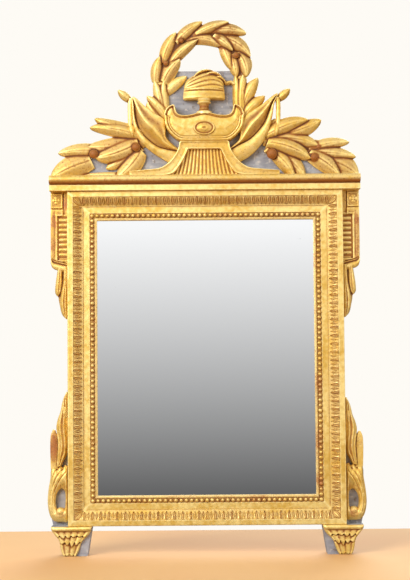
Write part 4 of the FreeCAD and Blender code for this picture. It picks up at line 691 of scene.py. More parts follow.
class Carving:
    """A piece of carving in the making: closed shapes that are run together into one skin."""

    def __init__(self, ground, floor=-1.0):
        self.points, self.faces, self.worn = [], [], []
        self.ground, self.floor = ground, floor

    def shape(self, across, up, rise, sunk=0.0, ring=False):
        """A closed shape from a grid of places across and up, rising off the ground or off a level
        sunk into it."""
        rows, columns = across.shape
        first, size = len(self.points), rows * columns
        up = np.maximum(up, self.floor)
        for depth in (self.ground - rise, np.full(across.shape, self.ground + sunk)):
            depth = np.broadcast_to(depth, across.shape)
            self.points.extend(np.stack([across, depth, up], -1).reshape(-1, 3))

        def corner(row, column, layer):
            return first + layer * size + row % rows * columns + column

        spans = range(rows if ring else rows - 1)
        for row in spans:
            for column in range(columns - 1):
                for layer in (0, 1):
                    self.faces.append((
                        corner(row, column, layer), corner(row, column + 1, layer),
                        corner(row + 1, column + 1, layer), corner(row + 1, column, layer)))
            for column in (0, columns - 1):
                self.faces.append((
                    corner(row, column, 0), corner(row + 1, column, 0),
                    corner(row + 1, column, 1), corner(row, column, 1)))
        for row in () if ring else (0, rows - 1):
            for column in range(columns - 1):
                self.faces.append((
                    corner(row, column, 0), corner(row, column + 1, 0),
                    corner(row, column + 1, 1), corner(row, column, 1)))

    def band(self, one_edge, other_edge, rise, steps=17, sunk=0.0, ring=False):
        """A strip between two edges; its rise is worked out from shares along and across it."""
        one, other = np.asarray(one_edge), np.asarray(other_edge)
        across = np.linspace(0, 1, steps)[None, :]
        along = np.linspace(0, 1, len(one))[:, None]
        sideways, up = between(one, other, across)
        self.shape(sideways, up, np.broadcast_to(rise(along, across), sideways.shape), sunk, ring)

    def leaf(self, base, tip, width, rise, bend=0.0):
        """A laurel leaf: full towards its base, pointed at its tip, crowned, with a cut rib."""
        along = np.linspace(0, 0.996, 34)[:, None]
        across = np.linspace(-1, 1, 21)[None, :]
        run = np.asarray(tip) - np.asarray(base)
        side = np.array((-run[1], run[0]))
        full = np.sin(np.pi * (0.2 + 0.8 * along) ** 1.1) ** 0.56
        off = side / np.hypot(*run) * (width / 2)
        arch = bend * 4 * along * (1 - along)
        sideways = base[0] + run[0] * along + off[0] * full * across + side[0] * arch
        up = base[1] + run[1] * along + off[1] * full * across + side[1] * arch
        length_way = 0.55 + 0.45 * np.sin(np.pi * (0.08 + 0.72 * along))
        cross_way = (
            0.42 + 0.58 * (1 - abs(across) ** 2.0) - 0.055 * bell(across / 0.08)
            + 0.02 * np.cos(across * 9) * along)
        self.shape(sideways, up, rise * length_way * cross_way)

    def leaves(self, rows):
        """Leaves on the crest, each from its base, its tip, its width, its rise and its bend."""
        for base_x, base_z, tip_x, tip_z, width, rise, bend in rows:
            self.leaf(crest(base_x, base_z), crest(tip_x, tip_z), width * MM, rise * MM, bend)

    def berries(self, rows, sunk, amount):
        """Berries on the crest, each from its place and its radius, worn down to the clay."""
        for across, up, radius in rows:
            self.ball(crest(across, up), radius * MM, sunk)
            self.redden(crest(across, up), 2 * radius * MM, 2 * radius * MM, amount)

    def ball(self, middle, radius, sunk):
        """A berry that sits on the ground."""
        work = bmesh.new()
        bmesh.ops.create_uvsphere(work, u_segments=18, v_segments=12, radius=radius)
        first = len(self.points)
        depth = self.ground - radius * (1 - sunk)
        self.points.extend((v.co.x + middle[0], v.co.y + depth, v.co.z + middle[1]) for v in work.verts)
        self.faces.extend(tuple(first + v.index for v in face.verts) for face in work.faces)
        work.free()

    def boss(self, middle, width, height, rise, sunk=0.0):
        """An oval boss; its rise is worked out from shares of the way from rim to middle."""
        spokes, rings = 48, 15
        turn = np.linspace(0, 2 * np.pi, spokes + 1)[:-1, None]
        inwards = np.linspace(0, 0.985, rings)[None, :]
        self.shape(
            middle[0] + width / 2 * np.cos(turn) * (1 - inwards),
            middle[1] + height / 2 * np.sin(turn) * (1 - inwards),
            np.broadcast_to(rise(inwards), (spokes, rings)), sunk, ring=True)

    def twig(self, places, width, rise):
        """A round twig through places on the ground."""
        line = flowing(places, 8 * len(places))
        side = sideways_of(line) * width / 2
        self.band(
            line - side, line + side, lambda along, across: rise * (0.35 + 0.65 * dome(2 * across - 1)), 11)

    def finish(self, name, grain=0.6 * MM, softening=1, toner_and_shade=(0.42, 0.75)):
        """Runs the shapes together into one skin, takes off the tool's steps and gilds it."""
        rough = bpy.data.objects.new(name, plain_mesh(name, self.points, self.faces))
        bpy.context.scene.collection.objects.link(rough)
        skin = rough.modifiers.new("skin", "REMESH")
        skin.mode, skin.voxel_size = "VOXEL", grain
        sand = rough.modifiers.new("sand", "SMOOTH")
        sand.factor, sand.iterations = 0.5, softening
        smooth = bpy.data.meshes.new_from_object(rough.evaluated_get(bpy.context.evaluated_depsgraph_get()))
        bpy.data.objects.remove(rough)
        rub_and_highlight, hollow, spots = wear_and_shading_of(smooth)
        # Darker where the surface lies low over the ground and in hollows, over a base tone for the piece:
        # toner and painted shade. Paler on proud places away from the clay: wear and painted highlight.
        low = 0.9 - (self.ground - spots[:, 1]) / toner_and_shade_depth
        bole_and_shade = np.zeros(len(spots))
        for middle, half_width, half_height, amount in self.worn:
            off = np.hypot((spots[:, 0] - middle[0]) / half_width, (spots[:, 2] - middle[1]) / half_height)
            bole_and_shade = np.maximum(bole_and_shade, amount * limit(2.2 - 1.6 * off))
        worn = rub_and_highlight * (1 - bole_and_shade)
        set_marks(smooth, worn, np.maximum(np.maximum(toner_and_shade[0] + toner_and_shade[1] * hollow, low), 0.75 * bole_and_shade), bole_and_shade)
        gild(name, smooth)

    def redden(self, middle, width, height, amount):
        """Marks an oval place where the gold is worn down to the clay."""
        self.worn.append((middle, width / 2, height / 2, amount))


# The pedestal of the trophy: an arched band with a fillet along each edge, whose feet spread along
# the cornice, and inside it a panel of upright flutes. Two pieces, glued to the crest board.
pedestal = Carving(crest_ground, crest_foot)
pedestal_rise = 18 * MM


def coved(along, across):
    """A band that is hollowed a little between two rounded fillets."""
    off = abs(2 * across - 1)
    fillet = limit((off - 0.62) / 0.14) * limit((1.04 - off) / 0.1) ** 0.5
    return pedestal_rise * (0.93 + 0.015 * off ** 2 + 0.045 * fillet) + 0 * along


pedestal_outside = [
    (0.0, 0.217), (0.06, 0.217), (0.12, 0.217), (0.157, 0.214), (0.165, 0.18), (0.179, 0.147), (0.206, 0.108),
    (0.243, 0.072), (0.292, 0.047), (0.37, 0.038), (0.485, 0.028)]
pedestal_inside = [
    (0.0, 0.167), (0.05, 0.167), (0.09, 0.167), (0.107, 0.162), (0.117, 0.14), (0.131, 0.113), (0.148, 0.083),
    (0.17, 0.05), (0.207, 0.012), (0.3, 0.0), (0.485, 0.0)]
pedestal.band(both_sides(pedestal_inside, 170), both_sides(pedestal_outside, 170), coved, 29)
pedestal.finish("pedestal", 0.65 * MM, 2, (0.14, 0.9))

flute_pitch = 4.7 * MM
panel = Carving(crest_ground, crest_foot)
panel_left = flowing(on_crest(((0.235, 0.0), (0.185, 0.05), (0.14, 0.11), (0.112, 0.18)), -1), 40)
panel_right = panel_left * (-1, 1)


def fluting(along, across):
    """Upright hollows side by side that fan out a little towards the foot."""
    x, z = between(panel_left, panel_right, across)
    hollow = np.abs(np.sin(np.pi * x / (flute_pitch * (1.3 - 0.3 * along))))
    return MM * (11.2 - 1.7 * np.clip(hollow, 0.25, 1) ** 1.5)


panel.band(panel_left, panel_right, fluting, 261)
panel.finish("pedestal_flutes", 0.6 * MM, 1, (0.28, 0.75))


# The bowl: boat-shaped, with horned ends, a double border and a smooth panel with an oval boss.
# Over it stand a turned stem, a drum and a crown of flames that blow to one side.
bowl = Carving(crest_ground, crest_foot)
bowl_rise = 21 * MM
bowl_top = [
    (0, 0.404), (0.045, 0.395), (0.09, 0.384), (0.135, 0.381), (0.166, 0.388), (0.182, 0.408), (0.189, 0.436),
    (0.197, 0.449), (0.226, 0.44), (0.248, 0.418), (0.258, 0.39)]
bowl_foot = [
    (0, 0.215), (0.05, 0.215), (0.10, 0.215), (0.15, 0.217), (0.176, 0.227), (0.2, 0.245), (0.223, 0.268),
    (0.24, 0.292), (0.252, 0.322), (0.258, 0.375)]
top_line = both_sides(bowl_top, 170)
foot_line = np.stack([top_line[:, 0], np.interp(abs(top_line[:, 0]), *np.transpose(on_crest(bowl_foot)))], 1)
bowl_edge = np.concatenate([foot_line, top_line])


def bowl_face(along, across):
    """Two rounded borders, a wide one and a thin one, then a panel that swells a little."""
    x, z = between(foot_line, top_line, across)
    near = nearest(x, z, bowl_edge)
    narrow = limit((nearest(x, z, top_line) - near) / (2 * MM))
    near = near / MM / (0.55 + 0.45 * narrow)
    wide = 3.2 * dome((near - 2.2) / 2.2)
    thin = 0.9 * dome(near - 5.9)
    swell = 1.4 * limit((near - 7.2) / 14) ** 0.7
    cut = -0.8 * bell((near - 4.6) / 0.5) - 0.5 * bell((near - 7.3) / 0.9)
    return bowl_rise + (wide + thin + swell + cut - 4.0) * MM


bowl.band(foot_line, top_line, bowl_face, 110)
bowl.finish("bowl", 0.6 * MM, 1, (0.14, 0.8))

boss = Carving(crest_ground - bowl_rise + 3.4 * MM)
boss.boss(
    crest(0, 0.299), 33 * MM, 22 * MM,
    lambda inwards: MM * (
        1.6 + 1.3 * bell((inwards - 0.1) / 0.07) + 1.5 * limit((inwards - 0.3) / 0.35) ** 0.6
        + 0.5 * bell((inwards - 0.75) / 0.1)), 2 * MM)
boss.finish("bowl_medallion", 0.5 * MM, 1)

stem_low, stem_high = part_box("lid_stem")
stem_axis = (stem_low.y + stem_high.y) / 2
stem_radius = (stem_high.x - stem_low.x) / 2 * 1.25
stem_turning = [
    (0.0, 0.0), (0.98, 0.0), (1.0, 0.08), (0.96, 0.17), (0.74, 0.22), (0.6, 0.34), (0.56, 0.46), (0.6, 0.58),
    (0.66, 0.66), (0.84, 0.72), (0.86, 0.78), (0.72, 0.83), (0.8, 0.9), (0.86, 1.0), (0.0, 1.0)]
turned_steps = 40
points, faces = [], []
for radius, level in stem_turning:
    for turn in np.linspace(0, 2 * np.pi, turned_steps + 1)[:-1]:
        reach = max(radius, 0.001) * stem_radius
        points.append((
            reach * math.cos(turn), stem_axis + reach * math.sin(turn),
            stem_low.z + level * (stem_high.z - stem_low.z)))
for ring in range(len(stem_turning) - 1):
    for step in range(turned_steps):
        onward = (step + 1) % turned_steps
        low, high = ring * turned_steps, (ring + 1) * turned_steps
        faces.append((low + step, low + onward, high + onward, high + step))
stem = plain_mesh("lid_stem", points, faces)
gild("lid_stem", stem, 60)

lid = Carving(crest_ground, crest_foot)
drum_level = np.linspace(0, 1, 40)
drum_half = crest_half * (0.138 - 0.007 * drum_level) * (1 - 0.07 * limit((0.14 - drum_level) / 0.14) ** 2)
drum_up = crest(0, 0.484)[1] + crest_height * 0.072 * drum_level


def drum(along, across):
    """A drum that bows to the front, with a rounded foot and a thin bead at its top."""
    bow = np.sqrt(limit(1 - (2 * across - 1) ** 2 * 0.8))
    foot = 1 - 0.16 * limit((0.16 - along) / 0.16) ** 2
    bead = 1 - 0.08 * bell((along - 0.78) / 0.05) + 0.02 * bell((along - 0.9) / 0.05)
    return 17.6 * MM * bow * foot * bead


lid.band(np.stack([-drum_half, drum_up], 1), np.stack([drum_half, drum_up], 1), drum, 70)
lid.finish("lid", 0.65 * MM, 1)

flame = Carving(crest_ground, crest_foot)
flame_top = flowing(on_crest((
    (-0.131, 0.556), (-0.124, 0.59), (-0.097, 0.622), (-0.04, 0.652), (0.02, 0.664), (0.07, 0.663),
    (0.106, 0.645), (0.126, 0.61), (0.131, 0.556))), 90)
flame_foot = np.stack([flame_top[:, 0], np.full(90, crest(0, 0.552)[1])], 1)


def tongues(along, across):
    """Long tongues of fire, side by side, that start low on one side and gather on the other."""
    dome = np.sqrt(limit(1 - (2 * along - 1) ** 2 * 0.85)) * np.sqrt(limit(1 - 0.72 * across ** 2.2))
    lick = np.abs(np.sin(np.pi * (across * 3.6 + 1.4 * (1 - along) ** 1.3 + 0.25 * np.sin(9 * along))))
    return MM * (16.5 * dome - 1.1 + 1.0 * lick ** 0.8)


flame.band(flame_foot, flame_top, tongues, 60)
flame.leaves((
    (-0.07, 0.625, 0.06, 0.668, 6, 15, 0.16), (0.0, 0.64, 0.128, 0.612, 7, 15, 0.22),
    (0.05, 0.625, 0.146, 0.588, 6.5, 14, 0.2)))
flame.twig(on_crest((
    (0.085, 0.628), (0.122, 0.614), (0.146, 0.594), (0.176, 0.597), (0.2, 0.583))), 6 * MM, 10 * MM)
# A patch on the right of the flames is painted redder and darker: painted shade on that side.
flame.redden(crest(0.08, 0.63), 40 * MM, 20 * MM, 0.25)
flame.finish("flame")


# The flags: two carved cloths with long folds and a rolled hem, each hung from a pole that ends in
# a pointed head, with a tasselled band beside it. Glued to the ground behind the bowl.
flag_lines = {
    "left": (
        [(-0.464, 0.5), (-0.456, 0.45), (-0.449, 0.373), (-0.424, 0.297), (-0.373, 0.237), (-0.309, 0.189),
         (-0.245, 0.167), (-0.16, 0.152)],
        [(-0.466, 0.51), (-0.44, 0.498), (-0.384, 0.445), (-0.32, 0.397), (-0.263, 0.36), (-0.25, 0.3),
         (-0.243, 0.24), (-0.162, 0.165)],
        [(-0.474, 0.5), (-0.468, 0.45), (-0.466, 0.392), (-0.46, 0.325), (-0.438, 0.257), (-0.4, 0.205),
         (-0.33, 0.146), (-0.22, 0.078)]),
    "right": (
        [(0.474, 0.51), (0.444, 0.461), (0.42, 0.395), (0.394, 0.335), (0.351, 0.279), (0.293, 0.226),
         (0.228, 0.194), (0.158, 0.158)],
        [(0.482, 0.528), (0.447, 0.508), (0.378, 0.452), (0.314, 0.41), (0.262, 0.372), (0.236, 0.3),
         (0.226, 0.23), (0.16, 0.17)],
        [(0.48, 0.512), (0.455, 0.45), (0.444, 0.379), (0.424, 0.31), (0.396, 0.24), (0.36, 0.186),
         (0.3, 0.128), (0.218, 0.078)])}


def cloth(along, across):
    """Cloth in long folds that run together at the head and at the tail."""
    ends = 0.5 + 0.5 * np.sin(np.pi * limit(0.06 + 0.88 * along)) ** 0.6
    body = 4.5 + 10.5 * limit(across / 0.45) ** 0.8 - 3.5 * limit((across - 0.7) / 0.3) ** 2
    dying = np.sin(np.pi * limit(along)) ** 0.7
    fold = np.cos(2 * np.pi * (across * 1.7 + 0.1 + 0.2 * np.sin(2.6 * along)))
    return MM * ends * (body + 1.1 * dying * fold * limit(across / 0.2))


def rolled_hem(along, across):
    """A fat roll, flatter on the side of the cloth."""
    return MM * (6.0 + 7.0 * dome(1.7 * across - 0.85)) * (0.85 + 0.15 * np.sin(np.pi * along))


for name, side in (("left", -1), ("right", 1)):
    fold_line, free_edge, hem_edge = (flowing(on_crest(line), 100) for line in flag_lines[name])
    flag = Carving(crest_ground, crest_foot)
    flag.band(fold_line, free_edge, cloth, 70)
    flag.band(fold_line, hem_edge, rolled_hem, 25)
    flag.finish("flag_" + name, 0.65 * MM, 1)
    pole = Carving(crest_ground, crest_foot)
    pole.leaf(crest(side * 0.484, 0.488), crest(side * 0.56, 0.553), 13 * MM, 10 * MM, 0.0)
    band_line = flowing(on_crest(((0.474, 0.5), (0.482, 0.46), (0.482, 0.4), (0.48, 0.33)), side), 40)
    pole.band(
        band_line - (3.4 * MM, 0), band_line + (3.4 * MM, 0),
        lambda along, across: MM * (9.5 - 2.0 * (2 * across - 1) ** 2) + 0 * along, 13)
    pole.boss(
        crest(side * 0.481, 0.326), 9 * MM, 5 * MM, lambda inwards: 10 * MM * np.sqrt(limit(0.4 + inwards)))
    pole.leaf(crest(side * 0.481, 0.335), crest(side * 0.463, 0.25), 12 * MM, 13 * MM, 0.0)
    pole.finish("flag_pole_" + name)


# The laurel sprays: a branch each side that lies along the cornice with broad leaves and a few
# berries. Each is carved from one board and undercut at its edges.
def spray(name, leaves, berries, twigs):
    carving = Carving(crest_ground, crest_foot)
    carving.leaves(leaves)
    carving.berries(berries, -0.25, 0.8)
    for places in twigs:
        carving.twig(on_crest(places), 6 * MM, 6 * MM)
    carving.finish(name, 0.65 * MM, 2, (0.5, 0.85))


spray("spray_left", [
    (-0.4, 0.285, -0.714, 0.372, 21, 9, 0.05), (-0.4, 0.25, -0.745, 0.314, 23, 11, -0.05),
    (-0.39, 0.238, -0.762, 0.19, 32, 8, 0.07), (-0.43, 0.215, -0.71, 0.118, 31, 12.5, 0.06),
    (-0.66, 0.165, -0.952, 0.152, 23, 8, -0.03), (-0.735, 0.105, -1.0, -0.012, 36, 10, -0.04),
    (-0.43, 0.195, -0.64, 0.05, 21, 8.5, 0.05), (-0.41, 0.165, -0.568, -0.012, 30, 11.5, 0.06),
    (-0.5, 0.012, -0.82, 0.01, 13, 5, 0.02)],
    [(-0.443, 0.184, 6.4), (-0.717, 0.143, 6.8)],
    [[(-0.40, 0.16), (-0.455, 0.20), (-0.60, 0.172), (-0.74, 0.145)], [(-0.455, 0.17), (-0.45, 0.29)],
     [(-0.455, 0.19), (-0.455, 0.12)]])
spray("spray_right", [
    (0.52, 0.262, 0.762, 0.352, 25, 9, -0.04), (0.4, 0.252, 0.678, 0.354, 25, 11.5, 0.05),
    (0.6, 0.19, 0.82, 0.19, 17, 6, 0.02), (0.385, 0.228, 0.755, 0.182, 26, 8.5, 0.08),
    (0.41, 0.212, 0.69, 0.104, 28, 12.5, 0.07), (0.485, 0.35, 0.41, 0.24, 22, 6.5, 0.0),
    (0.68, 0.165, 0.942, 0.21, 19, 8, 0.05), (0.69, 0.146, 0.984, 0.115, 21, 9, 0.03),
    (0.78, 0.1, 1.0, -0.012, 36, 8.5, 0.08), (0.68, 0.14, 0.876, -0.004, 29, 12, 0.05),
    (0.445, 0.155, 0.58, -0.012, 24, 11.5, 0.06), (0.51, 0.135, 0.65, -0.012, 23, 9, 0.04)],
    [(0.436, 0.135, 8.0), (0.714, 0.112, 6.0), (0.742, 0.18, 3.6)],
    [[(0.39, 0.15), (0.46, 0.192), (0.60, 0.163), (0.76, 0.135)], [(0.462, 0.165), (0.47, 0.27)],
     [(0.455, 0.17), (0.47, 0.12)]])


# The wreath: an arch of overlapping laurel leaves with a few berries, all pointing one way round,
# jointed with pins to two leafy stems that run down behind the bowl.
arch = Carving(crest_ground, crest_foot)
arch_line = flowing(on_crest((
    (-0.283, 0.599), (-0.262, 0.69), (-0.21, 0.79), (-0.125, 0.865), (0.0, 0.897), (0.105, 0.872),
    (0.19, 0.795), (0.235, 0.7), (0.25, 0.632))), 90)
arch_side = sideways_of(arch_line) * 8 * MM
arch.band(
    arch_line - arch_side, arch_line + arch_side,
    lambda along, across: 4.5 * MM * (0.6 + 0.4 * dome(2 * across - 1)))
arch.leaves((
    (-0.312, 0.6, -0.285, 0.768, 18, 10, 0.05), (-0.262, 0.6, -0.155, 0.748, 23, 11.5, 0.06),
    (-0.265, 0.725, -0.18, 0.922, 20, 9.5, 0.05), (-0.215, 0.72, -0.037, 0.872, 18, 11.5, 0.06),
    (-0.18, 0.858, -0.008, 0.99, 19, 10.5, 0.04), (-0.085, 0.885, 0.03, 0.94, 15, 8, 0.05),
    (-0.05, 0.91, 0.166, 0.985, 18, 12, 0.03), (-0.11, 0.862, 0.118, 0.826, 19, 9, 0.16),
    (0.05, 0.93, 0.28, 0.912, 20, 10.5, 0.07), (0.065, 0.9, 0.19, 0.8, 19, 12, 0.05),
    (0.13, 0.885, 0.305, 0.76, 22, 11, 0.09), (0.12, 0.845, 0.182, 0.68, 18, 9.5, 0.02),
    (0.19, 0.78, 0.212, 0.632, 19, 10, 0.0), (0.225, 0.79, 0.278, 0.632, 23, 11.5, 0.1)))
arch.berries(((-0.247, 0.72, 3.8), (-0.144, 0.864, 3.2), (0.096, 0.884, 3.2), (0.211, 0.766, 4.6)), -1.6, 0.7)
arch.finish("wreath_arch", 0.65 * MM, 2, (0.6, 0.85))

stem_carving = {
    "left": ([(-0.287, 0.596), (-0.279, 0.5), (-0.27, 0.4)], [
        (-0.275, 0.38, -0.322, 0.61, 19, 10.5, -0.05), (-0.25, 0.39, -0.262, 0.61, 17, 10, 0.04),
        (-0.255, 0.53, -0.112, 0.64, 17, 8, 0.03), (-0.28, 0.34, -0.37, 0.475, 24, 8, -0.03),
        (-0.245, 0.37, -0.372, 0.512, 19, 12, -0.06)]),
    "right": ([(0.25, 0.628), (0.25, 0.5), (0.25, 0.4)], [
        (0.215, 0.4, 0.205, 0.644, 15, 10, -0.03), (0.25, 0.39, 0.255, 0.646, 20, 11, 0.03),
        (0.255, 0.43, 0.352, 0.625, 21, 11.5, 0.06), (0.25, 0.37, 0.396, 0.508, 20, 12, 0.05)])}
for name, (places, leaves) in stem_carving.items():
    carving = Carving(crest_ground, crest_foot)
    carving.twig(on_crest(places), 14 * MM, 7 * MM)
    carving.leaves(leaves)
    carving.finish("wreath_stem_" + name, 0.65 * MM, 2)


# The ears: carved brackets under the ends of the cornice with a square rosette, a fluted panel in
# a raised border and a sloping foot. Under each hangs a husk of long leaves.
ear_low, ear_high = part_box("ear_right")
ear_face = 17.2


def ear_foot(out):
    """How far down an ear reaches, by places out from the stile."""
    return np.interp(out, (0, 21, 24, 26), (121, 115.5, 113, 107))


def ear_front(out, down):
    """How far an ear stands off its back, by places out from the stile and down from the top."""
    face = ear_face - 1.3 * ((out < 7.4) & (down < 36))
    block = np.maximum(abs(out - 16.6) - 8.8, abs(down - 13.4) - 11.2)
    from_middle = np.hypot(out - 17.2, down - 12.6)
    turn = np.arctan2(down - 12.6, out - 17.2)
    rosette = 0.8 * np.abs(np.cos(2 * turn)) ** 0.7 * limit(1.6 - abs(from_middle - 3.6) / 1.6)
    rosette = np.maximum(rosette, 1.2 * dome(from_middle / 2))
    face = np.where(block < 0, ear_face + 0.9 + np.where(block < -1.8, rosette - 0.3, 0), face)
    face = face - 1.6 * bell((block - 0.7) / 0.6) * (out > 6)
    panel = np.maximum(abs(out - 7.8) - 7.8, abs(down - 69) - 33)
    slots = np.cos(2 * np.pi * (down - 38.4) / 7.4) * limit((6.4 - abs(out - 7.4)) / 1.4)
    face = np.where(panel < 0, ear_face - 1.3 - 0.5 * slots, face)
    face = face + 0.8 * bell((panel - 1.4) / 0.9) * (panel > 0) * (down > 30)
    face = face - 0.6 * bell((out - 20) / 0.6) * (down > 30) * (down < 104)
    rest = ear_foot(out) - down
    roll = 2.4 * np.sin(np.pi * limit(rest / 9.5)) ** 0.7 + 0.9 * limit(1 - abs(rest - 12) / 1.2)
    return np.where(rest < 14, ear_face - 1.6 + roll, face)


husk_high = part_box("husk_right")[1]
husk_width, husk_length = 16 * MM, 74 * MM
for name, side in (("left", -1), ("right", 1)):
    ear = Carving(ear_high.y)
    out, share = np.meshgrid(np.linspace(0, 26, 90), np.linspace(0, 1, 250))
    down = share * ear_foot(out)
    ear.shape(side * (ear_low.x + out * MM), ear_high.z - down * MM, ear_front(out, down) * MM)
    ear.redden((side * (ear_low.x + 21.5 * MM), ear_high.z - 66 * MM), 9 * MM, 80 * MM, 0.5)
    ear.redden((side * (ear_low.x + 4 * MM), ear_high.z - 16 * MM), 8 * MM, 24 * MM, 0.45)
    ear.finish("ear_" + name, 0.6 * MM, 1, (0.38, 0.75))

    husk = Carving(husk_high.y)

    def hung(across, down):
        return np.array((side * (frame_high.x + husk_width * across), ear_low.z - husk_length * down))

    for one_edge, other_edge, rise in (
            (((0.1, -0.06), (0.2, 0.2), (0.35, 0.5), (0.5, 0.78), (0.62, 0.84)),
             ((0.7, -0.06), (0.8, 0.2), (0.95, 0.5), (0.85, 0.7), (0.68, 0.82)), 15),
            (((0.5, -0.06), (0.52, 0.12), (0.5, 0.3), (0.62, 0.46), (0.95, 0.55)),
             ((0.95, -0.06), (1.08, 0.12), (1.2, 0.3), (1.24, 0.46), (1.1, 0.53)), 19),
            (((0.03, -0.06), (0.02, 0.25), (0.02, 0.5), (0.02, 0.7), (0.03, 0.9), (0.12, 1.01)),
             ((0.4, -0.06), (0.46, 0.25), (0.68, 0.5), (0.78, 0.7), (0.6, 0.9), (0.24, 1.0)), 22)):
        husk.band(
            *(flowing([hung(*place) for place in edge], 60) for edge in (one_edge, other_edge)),
            lambda along, across: rise * MM * (
                0.75 + 0.25 * np.sin(np.pi * across) ** 0.7 - 0.07 * bell((across - 0.45) / 0.1)
                - 0.15 * along ** 3), 25)
    husk.finish("husk_" + name)


# The side scrolls: a gilt volute that curls round an open eye to a knob, and over it a fluted leaf
# that grows up the stile beside a plain one. Carved in one piece, laid on a painted ground.
ground_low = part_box("scroll_ground_right")[0]
scroll_width, scroll_height = 31.5 * MM, 195 * MM
scroll_rim = [
    (0.05, 0.45), (0.17, 0.458), (0.28, 0.44), (0.4, 0.456), (0.52, 0.438), (0.66, 0.458), (0.8, 0.446),
    (0.865, 0.36), (0.95, 0.28), (0.995, 0.195), (0.965, 0.125), (0.87, 0.07), (0.735, 0.04), (0.55, 0.028),
    (0.3, 0.028), (0.06, 0.035), (0.04, 0.14), (0.04, 0.27), (0.045, 0.36)]
scroll_eye = [
    (0.2, 0.262), (0.26, 0.274), (0.34, 0.28), (0.43, 0.273), (0.54, 0.248), (0.605, 0.217), (0.625, 0.18),
    (0.61, 0.148), (0.55, 0.126), (0.46, 0.118), (0.36, 0.116), (0.25, 0.121), (0.18, 0.145), (0.16, 0.185),
    (0.16, 0.22), (0.17, 0.245)]
fluted_outer = [
    (0.56, 0.445), (0.52, 0.54), (0.5, 0.62), (0.535, 0.69), (0.57, 0.75),
    (0.5, 0.81), (0.4, 0.855), (0.33, 0.9)]
fluted_inner = [
    (0.36, 0.45), (0.2, 0.5), (0.06, 0.55), (0.03, 0.63), (0.03, 0.7),
    (0.03, 0.78), (0.03, 0.84), (0.03, 0.9)]
scroll_channels = [
    [(0.12, 0.405), (0.33, 0.365), (0.55, 0.305), (0.71, 0.235), (0.74, 0.16), (0.66, 0.1)],
    [(0.3, 0.425), (0.52, 0.38), (0.71, 0.31), (0.82, 0.235), (0.84, 0.16), (0.76, 0.095)],
    [(0.54, 0.43), (0.7, 0.385), (0.83, 0.315), (0.91, 0.235), (0.91, 0.16)]]
scroll_growth = {"left": (0, 0.28, 0.455, 1.02), "right": (0, 0.263, 0.455, 0.9635)}
upper_outer = [(0.34, 0.82), (0.35, 0.87), (0.31, 0.92), (0.24, 0.965), (0.1, 1.015)]
upper_inner = [(0.03, 0.82), (0.03, 0.87), (0.03, 0.92), (0.03, 0.96), (0.03, 1.01)]
plain_outer = [(0.84, 0.43), (0.86, 0.52), (0.87, 0.6), (0.85, 0.68), (0.74, 0.73)]
plain_inner = [(0.5, 0.43), (0.5, 0.52), (0.5, 0.6), (0.54, 0.67), (0.64, 0.722)]


def fluted(along, across):
    """Hollows side by side with sharp ridges between them, low at the leaf's edges."""
    hollow = np.abs(np.sin(np.pi * (across * 2.7 + 0.5 - 0.5 * along + 0.12 * np.sin(6 * along))))
    swell = 2.2 * np.sin(np.pi * (0.15 + 0.75 * along))
    return MM * (13.0 + swell - 2.3 * hollow ** 0.8 - 4.5 * (2 * across - 1) ** 4)


for name, side in (("left", -1), ("right", 1)):
    coat_node("scroll_ground_" + name, distemper, bare_wood)
    scroll = Carving(ground_low.y)

    def grown(across, up):
        up = np.interp(up, scroll_growth["left"], scroll_growth[name])
        return np.array((side * (frame_high.x + scroll_width * across), frame_low.z + scroll_height * up))

    def edge(places, count):
        return flowing([grown(*place) for place in places], count)

    eye_edge, rim_edge = (edge(line + line[:1], 161)[:-1] for line in (scroll_eye, scroll_rim))

    def volute(along, across):
        """A band that swells towards its outer edge and falls low at the eye, with channels that
        run from the fold of the leaf down round its outer side."""
        crown = np.sin(np.pi * limit(0.08 + 0.82 * across)) ** 0.75
        x, z = between(eye_edge, rim_edge, across)
        cut = 0
        for channel in scroll_channels:
            cut = cut + bell(nearest(x, z, edge(channel, 90)) / (0.9 * MM))
        return MM * (2.5 + 10 * crown - 1.3 * cut)

    scroll.band(eye_edge, rim_edge, volute, 61, ring=True)
    scroll.ball(grown(0.38, 0.1), 7.5 * MM, 0.2)
    scroll.band(
        edge(plain_inner, 50), edge(plain_outer, 50),
        lambda along, across: MM * (8.5 - 2.5 * along + 4 * across * (1 - across)), 25)
    scroll.band(edge(fluted_inner, 90), edge(fluted_outer, 90), fluted, 45)
    scroll.band(
        edge(upper_inner, 50), edge(upper_outer, 50),
        lambda along, across: fluted(along, across) - 1.5 * MM * along, 31)
    scroll.redden(grown(0.72, 0.58), 0.36 * scroll_width, 0.26 * scroll_height, 0.6 if side < 0 else 0.25)
    scroll.redden(grown(0.38, 0.085), 14 * MM, 13 * MM, 0.4)
    scroll.finish("scroll_" + name, 0.6 * MM, 1, (0.14, 0.8))


# The feet: painted blocks pegged under the ends of the frame, each with a gilt leaf on its face
# that hangs down under a plump lip in three ragged rows.
foot_leaf_low, foot_leaf_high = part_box("foot_leaf_right")
foot_width = foot_leaf_high.x - foot_leaf_low.x
foot_toe = 7 * MM
foot_rows = 24
foot_inner = [
    (0.0, 0.995), (0.02, 0.88), (0.06, 0.76), (0.13, 0.65), (0.2, 0.56),
    (0.26, 0.44), (0.3, 0.26), (0.35, 0.1), (0.39, 0.01)]
foot_outer = [
    (1.0, 0.995), (0.98, 0.88), (0.93, 0.78), (0.87, 0.67), (0.81, 0.56),
    (0.78, 0.42), (0.76, 0.24), (0.73, 0.09), (0.69, 0.01)]


